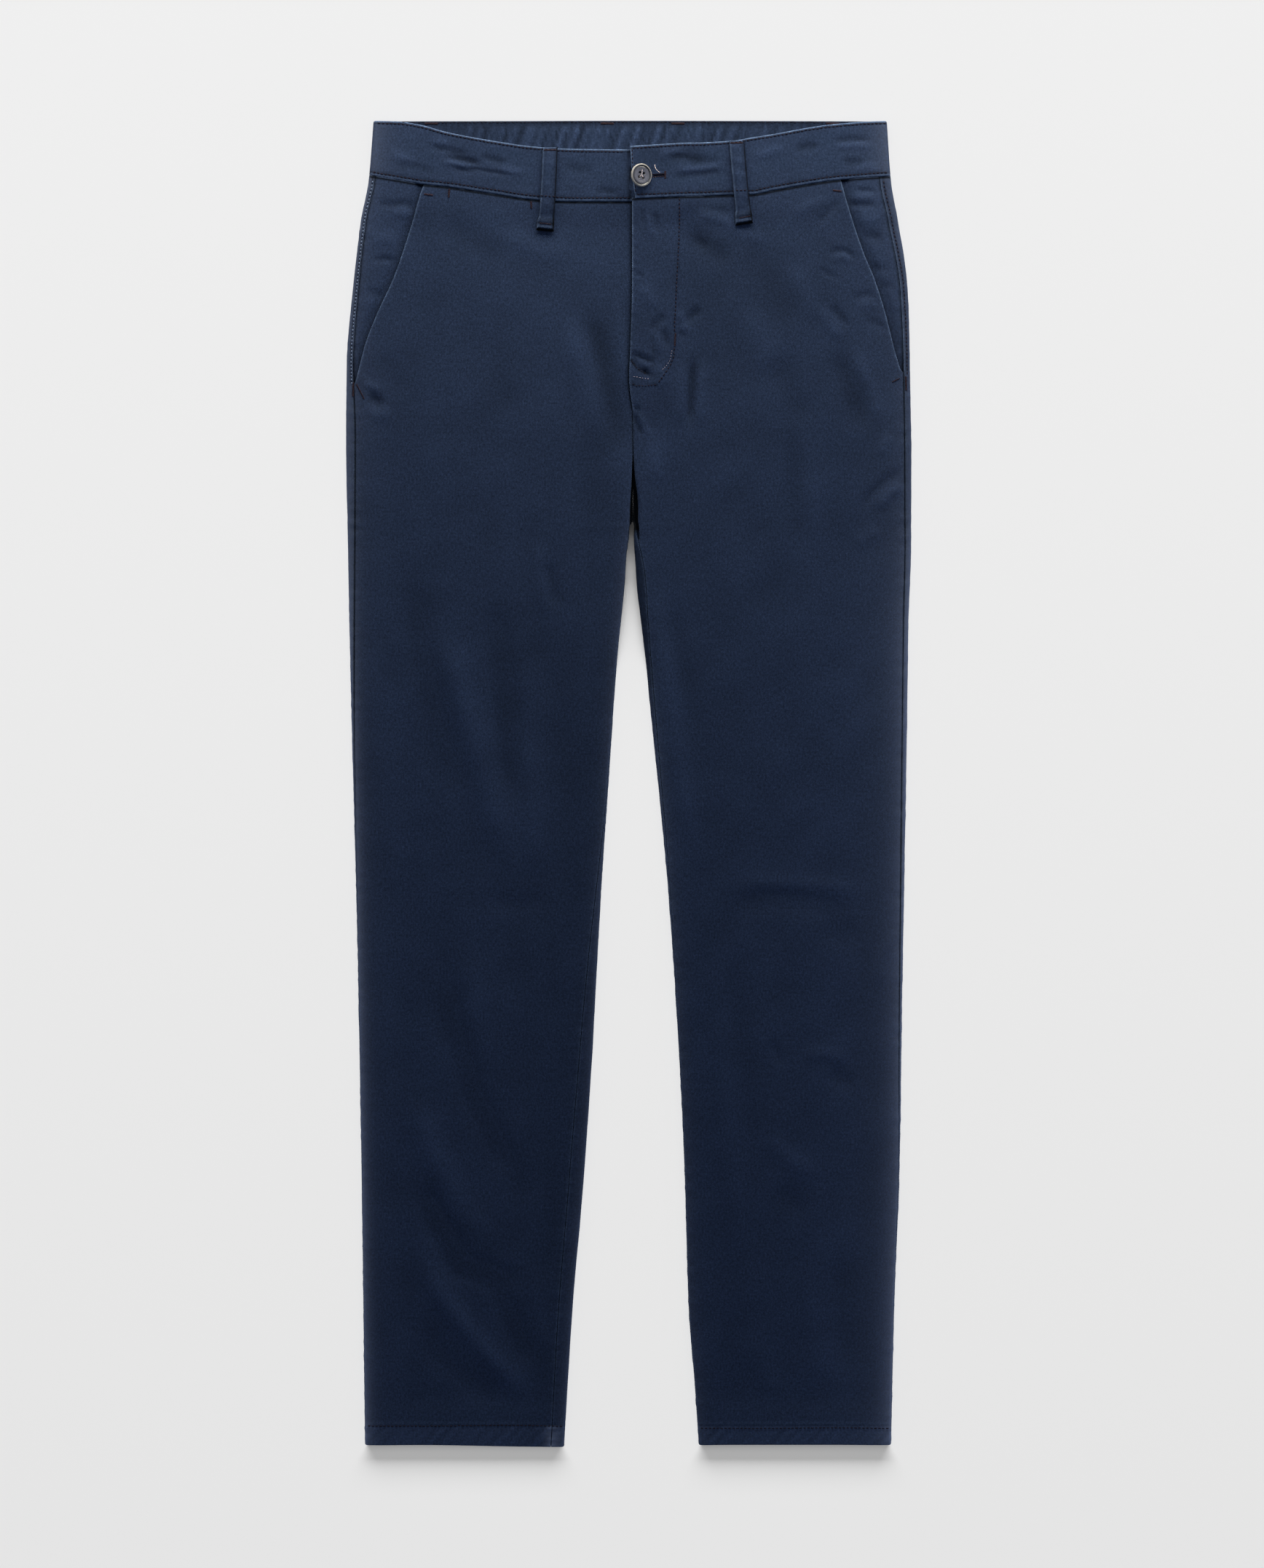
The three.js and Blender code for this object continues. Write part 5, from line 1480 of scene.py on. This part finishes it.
# A stitch's rings: share of its length from the middle, share of its width, and rise
STITCH_RINGS = [
    (-0.5, 0.35, -0.5), (-0.36, 0.85, 0.1), (0.0, 1.0, 0.42), (0.36, 0.85, 0.1), (0.5, 0.35, -0.5),
]
STITCH_SIDES = 6


def stitch_mesh(stitches):
    """Points and quads of all stitches. Each row: centre, direction, normal, length and width."""
    angles = np.linspace(0, 2 * np.pi, STITCH_SIDES, endpoint=False)
    corners = len(STITCH_RINGS) * STITCH_SIDES
    points, faces = [], []
    for i, (centre, ahead, normal, length, width) in enumerate(stitches):
        ahead = ahead / np.linalg.norm(ahead)
        aside = np.cross(normal, ahead)
        aside /= np.linalg.norm(aside)
        upward = np.cross(ahead, aside)
        for share, size, rise in STITCH_RINGS:
            middle = centre + ahead * share * length + upward * width * rise * 0.5
            for angle in angles:
                points.append(middle + width / 2 * size * (aside * np.cos(angle) + upward * np.sin(angle)))
        rings = np.arange(i * corners, (i + 1) * corners).reshape(-1, STITCH_SIDES)
        after = np.roll(rings, -1, axis=1)
        faces.append(np.stack([rings[:-1], after[:-1], after[1:], rings[1:]], axis=-1).reshape(-1, 4))
        for ring in (rings[0][::-1], rings[-1]):
            faces.append([[ring[0], ring[1], ring[2], ring[3]], [ring[0], ring[3], ring[4], ring[5]]])
    return np.array(points), np.concatenate(faces)


def row_of_stitches(tree, points, kit, seed, length=None, width=None):
    """Stitches end to end along a line, each a little uneven."""
    rng = np.random.default_rng(seed)
    length = length or kit.stitch / MM
    width = width or kit.thread / MM
    made = []
    for x, drop, ahead_x, ahead_drop in walked(points, length + kit.gap / MM):
        jitter = rng.normal(0, 0.07, 2)
        found = on_cloth(tree, x + jitter[0], drop + jitter[1])
        scale = rng.uniform(0.88, 1.08)
        if found is None:
            continue
        centre, normal = found
        ahead = np.array([ahead_x, -ahead_drop, 0.0])
        ahead -= normal * (ahead @ normal)
        if normal[2] < 0.2 or np.linalg.norm(ahead) < 1e-6:
            continue
        made.append((centre, ahead, normal, length * scale, width * rng.uniform(0.9, 1.1)))
    return made


def bar_tack(tree, start, end, seed, across):
    """A bar of close stitches laid across the line from start to end."""
    rng = np.random.default_rng(seed)
    line = np.array([start, end], float)
    run = line[1] - line[0]
    run /= np.hypot(*run)
    aside = np.array([-run[1], run[0]])
    made = []
    for x, drop, _, _ in walked([start, end], 0.52):
        found = on_cloth(tree, x, drop)
        if found is None:
            continue
        centre, normal = found
        lean = aside + run * rng.uniform(-0.25, 0.25)
        ahead = np.array([lean[0], -lean[1], 0.0])
        made.append((centre + normal * 0.12, ahead, normal, across * rng.uniform(0.85, 1.1), 0.5))
    return made


def waist_line(curve, start, end, inset, count=60):
    """A line at an even distance from an edge or a seam of the waist."""
    x = np.linspace(start, end, count)
    return list(zip(x, curve(x) + inset))


FLY_CURVE = [(40, 62), (40.2, 78), (39.6, 100), (38.2, 125), (37.2, 145), (36.2, 168)]
FLY_BEND = [(36.2, 180), (35.4, 188), (33, 194), (30, 199), (26.4, 204), (23.4, 208.4)]
FLY_FOOT = [(2.6, 209.0), (6, 210.4), (12, 210.6), (22, 209.8)]
FLY_SLOPE = [(2.0, 190.5), (5, 195), (9.4, 198.6), (14, 201)]
FLY_BEND_INSIDE = [(34.4, 182), (33.2, 189), (30.4, 194), (26.4, 198.4), (21.6, 201.8), (17.6, 204.2)]

# Bars at the coin pocket's ends and at both ends of the pockets: from, to and how wide
POCKET_TACKS = [
    ((-142.1, 54.6), (-142.6, 61.5), 1.6), ((-77.4, 64.5), (-77.0, 70.2), 1.6),
    ((-162, 58.8), (-155, 59.6), 1.6), ((168.4, 56.6), (161.6, 55.7), 1.6),
    ((-218.3, 208), (-218.4, 219), 1.6), ((-215.6, 209), (-209.5, 221), 1.1),
    ((219.4, 203), (219.7, 214), 1.6), ((214.6, 204.6), (208.6, 207.6), 1.1),
]


def side_line(half, beside):
    """The line of the stitches beside a side seam, down to the pocket's end."""
    drops = np.linspace(48, half.pocket_point + 2, 60)
    return list(zip(half.edge(drops) + half.inward * (half.side_seam(drops) - beside), drops))


def dark_stitches(tree, kit):
    """The rows in dark thread and the bars in brown."""
    made, bars = [], []
    seed = 100

    def row(points, **how):
        nonlocal seed
        seed += 1
        made.extend(row_of_stitches(tree, points, kit, seed, **how))

    def tack(start, end, across):
        nonlocal seed
        seed += 1
        bars.extend(bar_tack(tree, start, end, seed, across))

    row(waist_line(RIGHT.band_top, -199, -4, 2.1))
    row(waist_line(LEFT.band_top, 2.5, 204, 2.1))
    row(waist_line(RIGHT.band_seam, -203, 1.5, -2.8))
    row(waist_line(LEFT.band_seam, 6, 205, -2.8))
    row(waist_line(BACK_TOP, -180, 158, 1.3, 90), width=0.55)
    row([(2.5, 23), (3.2, 40), (5.6, 58)])
    row(side_line(LEFT, LEFT_ROW))
    row(FLY_CURVE)
    row(FLY_BEND)
    tack((37.0, 169), (36.4, 179), 1.3)
    row(FLY_FOOT, length=1.6, width=0.6)
    row(FLY_SLOPE, length=1.6, width=0.6)
    for half, drop in ((RIGHT, 1034.4), (LEFT, 1036.2)):
        low, high = sorted((float(half.edge(drop)), float(half.inner(drop))))
        row([(x, drop - 0.25 * np.sin(x / 21)) for x in np.linspace(low + 2, high - 2, 40)])
    for start, end, across in POCKET_TACKS:
        tack(start, end, across)
    for _, x in BACK_LOOPS:
        tack((x - 5.2, 2.4), (x + 5.2, 2.4), 2.0)
    for _, top_x, end_x, start, end, lean in FRONT_LOOPS:
        tack((top_x - 5, start + 2.4), (top_x + 5, start + 2.1), 1.5)
        tack((end_x - 4.4, end - 4.2 - lean * 0.4), (end_x + 4.4, end - 4.2 + lean * 0.4), 0.7)
    for side in (-1, 1):
        for x in np.arange(18.4, 28.6, 0.62):
            found = on_cloth(tree, x, slot_drop(x) + side * 0.95)
            if found:
                made.append((found[0] + [0, 0, 0.05], np.array([0.1, 1, 0]), found[1], 1.1, 0.5))
    tack((28.9, 41.0), (28.9, 47.0), 1.6)
    return made, bars


def navy_stitches(tree, kit):
    """The row beside the right side seam, in thread of the cloth's colour, worn pale."""
    return row_of_stitches(tree, side_line(RIGHT, RIGHT_ROW), kit, 301, length=2.0, width=0.95)


def pale_stitches(tree, kit):
    """The fine rows at the fly's bend and end, and the one along the buttonhole."""
    rows = [
        (FLY_BEND_INSIDE[:4], 1.1, 0.3),
        ([(3.4, 203.2), (9, 204.2), (16.4, 205.2)], 1.1, 0.45),
        ([(18.6, 45.9), (23, 45.6), (28, 45.3)], 0.9, 0.3),
    ]
    made = []
    for i, (line, length, width) in enumerate(rows):
        made += row_of_stitches(tree, line, kit, 400 + i, length, width)
    return made


def button_thread(kit):
    """The four threads that cross the button's face between its holes, and the loose end beside the
    buttonhole."""
    made = []
    r = HOLE_SPREAD * np.cos(QUARTER / 2)
    runs = [((0.2, 0.4), (-r, -r)), ((-0.2, 0.4), (r, -r)), ((-0.3, 4.4), (0, 0))]
    for i, (start, end) in enumerate(runs):
        for offset in (-0.12, 0.12):
            middle = (np.array(start) + np.array(end)) / 2 + offset
            run = np.array(end) - np.array(start)
            centre = np.array([[middle[0], middle[1], 2.12 + 0.12 * i]])
            ends = np.array([[start[0], start[1], 0], [end[0], end[1], 0]])
            moved = placed_on_button(np.vstack([centre, ends]), kit)
            made.append((moved[0], moved[2] - moved[1], np.array([0, 0, 1.0]), np.hypot(*run) + 0.1, 0.24))
    return made


def loose_thread():
    """Short lengths of thread that follow each other in a curl above the buttonhole."""
    path = np.array(
        [(20.6, 36.2, 10.4), (20.8, 38, 11.2), (21.7, 39.9, 11.5), (23.2, 41.4, 11.1), (24.6, 42.3, 10.6)],
    )
    path[:, 1] = LENGTH / 2 - path[:, 1]
    made = []
    for start, end in zip(path[:-1], path[1:]):
        made.append(
            ((start + end) / 2, end - start, np.array([0, 0, 1.0]), np.linalg.norm(end - start) * 1.25, 0.4),
        )
    return made


class TROUSERS_OT_stitches(bpy.types.Operator):
    """Sew the pieces: rows of stitches, bars at the pockets, loops and fly, and the button's threads"""

    bl_idname = "trousers.stitches"
    bl_label = "Stitches"

    def execute(self, context):
        kit = context.scene.trouser_sewing
        tree = cloth_surface()
        rows, bars = dark_stitches(tree, kit)
        threads = button_thread(context.scene.trouser_fastening) + loose_thread()
        sewn = [
            ("navy_stitches", navy_stitches(tree, kit), "navy_twill", ("navy thread", kit.navy, 0.8, 0.1)),
            ("dark_stitches", rows, "dark_thread", ("dark thread", kit.dark, 0.75, 0.08)),
            ("bar_tacks", bars, "dark_thread", ("brown thread", kit.brown, 0.75, 0.08)),
            ("pale_stitches", pale_stitches(tree, kit), "pale_thread", ("pale thread", kit.pale, 0.6, 0.2)),
            ("button_threads", threads, "pale_thread", ("button thread", kit.white, 0.6, 0.2)),
        ]
        for name, stitches, slot, finish in sewn:
            add_piece(name, *stitch_mesh(stitches), plain_material(*finish), slot)
        return {"FINISHED"}


# Stage


SENSOR = 36
EYE_PLACE = (0.0026, -0.0009)
CLOTH_LEVEL = 0.006
VIEW_SPAN = 1.242  # what the sensor's width covers at the cloth's level
FLOOR_REACH = 30
WHITE = (1, 1, 1)
WARM = (1.22, 1.04, 0.74)


def add_light(name, kind, energy, place, aim, size, colour, lit, shading):
    """A lamp for some pieces only. A sun's size is its angle, and an area's is its two sides."""
    data = bpy.data.lights.new(name, kind)
    data.energy = energy
    data.color = colour
    if kind == "SUN":
        data.angle = size
    else:
        data.shape = "RECTANGLE"
        data.size, data.size_y = size
    light = bpy.data.objects.new(name, data)
    light.location = place
    light.rotation_euler = (Vector(aim) - Vector(place)).to_track_quat("-Z", "Y").to_euler()
    light.visible_camera = kind == "SUN"
    bpy.context.scene.collection.objects.link(light)
    light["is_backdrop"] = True
    light.light_linking.receiver_collection = lit
    light.light_linking.blocker_collection = shading


def stage_mesh(name, corners, faces):
    """A mesh that belongs to the stage and not to the trousers."""
    mesh = bpy.data.meshes.new(name)
    mesh.from_pydata(corners, [], faces)
    made = bpy.data.objects.new(name, mesh)
    bpy.context.scene.collection.objects.link(made)
    made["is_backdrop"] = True
    return made


def collected(name, objects):
    group = bpy.data.collections.new(name)
    for item in objects:
        group.objects.link(item)
    return group


def shade_cards():
    """Cards at the hems and beside the fork, unseen by the camera. Only they cast shadows on the floor."""

    def stood(line, heights):
        return [(x, drop, 0) for x, drop in line], [(x, drop, z) for (x, drop), z in zip(line, heights)]

    shapes = [stood([(-6, 320), (11, 320)], (30, 30))]
    shapes.append(([(-8, 308, 5), (13, 308, 5)], [(-8, 330, 5), (13, 330, 5)]))
    for half in (RIGHT, LEFT):
        low, high = half.edge(LENGTH) + half.inward * 1.5, half.inner(LENGTH) - half.inward * 1.5
        shapes.append(stood([(low, LENGTH - 1.2), (high, LENGTH - 1.2)], (6, 6)))
        drops = np.linspace(250, 470, 23)
        tops = mix(26, 5, ease(322, 354, drops)) * (1 - ease(380, 450, drops))
        shapes.append(stood(list(zip(half.inner(drops) - half.inward * 0.9, drops)), tops))
    cards = []
    for i, (low, high) in enumerate(shapes):
        count = len(low)
        corners = [(x * MM, (LENGTH / 2 - drop) * MM, z * MM) for x, drop, z in low + high]
        faces = [(j, j + 1, j + 1 + count, j + count) for j in range(count - 1)]
        card = stage_mesh("shade card %d" % (i + 1), corners, faces)
        card.visible_camera = False
        card.visible_diffuse = False
        card.visible_glossy = False
        cards.append(card)
    return cards


class TROUSERS_OT_stage(bpy.types.Operator):
    """Set the pale floor, the studio light and the camera straight above"""

    bl_idname = "trousers.stage"
    bl_label = "Stage, light and camera"

    def execute(self, context):
        kit = context.scene.trouser_stage
        scene = context.scene
        edge = FLOOR_REACH
        corners = [(-edge, -edge, 0), (edge, -edge, 0), (edge, edge, 0), (-edge, edge, 0)]
        floor = stage_mesh("floor", corners, [(0, 1, 2, 3)])
        material, tree, shader = new_material("floor paper")
        dress(tree, shader, Base_Color=(*kit.floor, 1), Roughness=1.0, Specular_IOR_Level=0.0)
        floor.data.materials.append(material)
        world = bpy.data.worlds.new("studio")
        scene.world = world
        world.use_nodes = True
        background = world.node_tree.nodes["Background"]
        dress(world.node_tree, background, Color=(1.0, 1.0, 1.0, 1), Strength=kit.room)
        paper = collected("lit floor", [floor])
        cloth = collected("lit pieces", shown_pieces())
        cards = collected("shades", shade_cards())
        hazy, soft, long = np.radians(110), np.radians(80), (1.5, 0.2)
        middle, side, wide = (0, 0, 0), (0, -0.1, 0), (17.5, 4.5)
        lamps = [
            ("floor overhead", "SUN", kit.floor_overhead, (0, 0, 3), middle, hazy, WHITE, paper, cards),
            ("floor window", "AREA", kit.floor_window, (0, 14, 4.3), middle, wide, WHITE, paper, cards),
            ("overhead", "SUN", kit.overhead, (0.3, 0.2, 3), middle, soft, WHITE, cloth, cloth),
            ("strip", "AREA", kit.strip, (0.05, 1.0, 0.26), (0, 0.3, 0), (1.4, 0.2), WARM, cloth, cloth),
            ("right side", "AREA", kit.sides, (1.6, -0.1, 0.22), side, long, WHITE, cloth, cloth),
            ("left side", "AREA", kit.sides * 0.5, (-1.6, -0.1, 0.22), side, long, WHITE, cloth, cloth),
        ]
        for lamp in lamps:
            add_light(*lamp)
        camera = bpy.data.cameras.new("camera")
        camera.sensor_width = SENSOR
        camera.lens = kit.lens
        camera.clip_end = 100
        eye = bpy.data.objects.new("camera", camera)
        eye.location = (*EYE_PLACE, CLOTH_LEVEL + VIEW_SPAN * kit.lens / SENSOR)
        scene.collection.objects.link(eye)
        scene.camera = eye
        scene.view_settings.view_transform = "Standard"
        scene.view_settings.look = "None"
        return {"FINISHED"}


# Settings


class TrouserCloth(bpy.types.PropertyGroup):
    navy: FloatVectorProperty(
        name="Navy", description="Colour of the dyed cotton", subtype="COLOR",
        default=(0.0099, 0.0178, 0.0460), min=0, max=1
    )
    worn: FloatVectorProperty(
        name="Worn", description="Colour of the cotton where the dye has worn off", subtype="COLOR",
        default=(0.054, 0.09, 0.185), min=0, max=1,
    )
    # The grey of the painted sheen along the folds of the legs and the band's sides, and of the hems' pale
    # wear
    paler_grey: FloatVectorProperty(
        name="Faded", description="What washing adds along the folds of the legs", subtype="COLOR",
        default=(0.0148, 0.0185, 0.0295), min=0, max=1,
    )
    creases: FloatProperty(
        name="Creases", description="Depth of the creases, 1 as laid out", default=1.0, min=0, max=1.5,
    )
    gathers: FloatProperty(
        name="Gathers", description="Depth of the gathers beside seams", default=1.0, min=0, max=2,
    )
    grain: FloatProperty(
        name="Grain", description="Strength of the twill's grain", default=1.0, min=0, max=3,
    )


class TrouserSewing(bpy.types.PropertyGroup):
    stitch: FloatProperty(
        name="Stitch", description="Length of one stitch",
        default=0.0023, min=0.001, max=0.006, unit="LENGTH", precision=5
    )
    gap: FloatProperty(
        name="Gap", description="Between two stitches",
        default=0.0008, min=0.0001, max=0.003, unit="LENGTH", precision=5
    )
    thread: FloatProperty(
        name="Thread", description="Thickness of the thread",
        default=0.00085, min=0.0002, max=0.001, unit="LENGTH",
        precision=5,
    )
    dark: FloatVectorProperty(
        name="Dark thread", description="Thread of the seams", subtype="COLOR",
        default=(0.0075, 0.0055, 0.0115), min=0, max=1
    )
    pale: FloatVectorProperty(
        name="Pale thread", description="Thread of the fly's bar", subtype="COLOR",
        default=(0.21, 0.195, 0.29), min=0, max=1
    )
    brown: FloatVectorProperty(
        name="Brown thread", description="Thread of the bars", subtype="COLOR",
        default=(0.017, 0.011, 0.0175), min=0, max=1
    )
    white: FloatVectorProperty(
        name="Button thread", description="Thread of the button", subtype="COLOR",
        default=(0.42, 0.4, 0.48), min=0, max=1
    )
    navy: FloatVectorProperty(
        name="Navy thread", description="Thread of the side seams", subtype="COLOR",
        default=(0.068, 0.1, 0.19), min=0, max=1
    )


class TrouserFastening(bpy.types.PropertyGroup):
    radius: FloatProperty(
        name="Radius", description="Half the button's width",
        default=0.0091, min=0.006, max=0.012, unit="LENGTH",
        precision=4,
    )
    tilt: FloatProperty(
        name="Tilt", description="How far the button leans", default=0.47, min=0, max=0.6, unit="ROTATION",
    )
    face: FloatVectorProperty(
        name="Face", description="Colour of the button's face", subtype="COLOR",
        default=(0.05, 0.057, 0.09), min=0, max=1
    )
    # The rim's colour: its own paler grey, raised as a painted highlight
    rim: FloatVectorProperty(
        name="Rim", description="Colour of the button's rim", subtype="COLOR",
        default=(0.16, 0.168, 0.185), min=0, max=1
    )


class TrouserStage(bpy.types.PropertyGroup):
    room: FloatProperty(name="Room", description="Even light of the pale room", default=0.12, min=0, max=3)
    floor_overhead: FloatProperty(
        name="Floor overhead", description="Light from above on the floor", default=1.25, min=0, max=10
    )
    floor_window: FloatProperty(
        name="Floor window", description="Low light on the floor from beyond the waist",
        default=4550.0, min=0, max=90000
    )
    overhead: FloatProperty(
        name="Overhead", description="Light from above on the cloth", default=0.85, min=0, max=10,
    )
    strip: FloatProperty(
        name="Strip", description="Low light on the cloth from beyond the waist",
        default=21.5, min=0, max=9000
    )
    sides: FloatProperty(
        name="Sides", description="Low light on the cloth from the sides", default=10.0, min=0, max=900,
    )
    floor: FloatVectorProperty(
        name="Floor", description="Colour of the floor", subtype="COLOR",
        default=(0.8, 0.8, 0.8), min=0, max=1
    )
    lens: FloatProperty(
        name="Lens", description="Focal length in millimetres", default=85.0, min=20, max=200,
    )


class TROUSERS_PT_pieces(bpy.types.Panel):
    """Lists what the trousers are made of"""

    bl_idname = "TROUSERS_PT_pieces"
    bl_label = "Chino trousers"
    bl_space_type = "VIEW_3D"
    bl_region_type = "UI"
    bl_category = "Trousers"

    def draw(self, context):
        for group in SETTINGS:
            box = self.layout.box()
            settings = getattr(context.scene, group)
            for name in settings.bl_rna.properties.keys():
                if name not in ("rna_type", "name"):
                    box.prop(settings, name)
        for operator in OPERATORS:
            self.layout.operator(operator.bl_idname)


SETTINGS = {
    "trouser_cloth": TrouserCloth,
    "trouser_sewing": TrouserSewing,
    "trouser_fastening": TrouserFastening,
    "trouser_stage": TrouserStage,
}
OPERATORS = [
    TROUSERS_OT_back_panels,
    TROUSERS_OT_front_panels,
    TROUSERS_OT_pocket_facings,
    TROUSERS_OT_waistband,
    TROUSERS_OT_belt_loops,
    TROUSERS_OT_fly,
    TROUSERS_OT_button,
    TROUSERS_OT_stitches,
    TROUSERS_OT_stage,
]


def register():
    for group in SETTINGS.values():
        bpy.utils.register_class(group)
    for name, group in SETTINGS.items():
        setattr(bpy.types.Scene, name, PointerProperty(type=group))
    for operator in OPERATORS:
        bpy.utils.register_class(operator)
    bpy.utils.register_class(TROUSERS_PT_pieces)


def unregister():
    bpy.utils.unregister_class(TROUSERS_PT_pieces)
    for operator in reversed(OPERATORS):
        bpy.utils.unregister_class(operator)
    for name in SETTINGS:
        delattr(bpy.types.Scene, name)
    for group in reversed(SETTINGS.values()):
        bpy.utils.unregister_class(group)


def main():
    register()
    for operator in OPERATORS:
        group, name = operator.bl_idname.split(".")
        result = getattr(getattr(bpy.ops, group), name)()
        if result != {"FINISHED"}:
            raise RuntimeError(operator.bl_label + " was not finished")


if __name__ == "__main__":
    main()
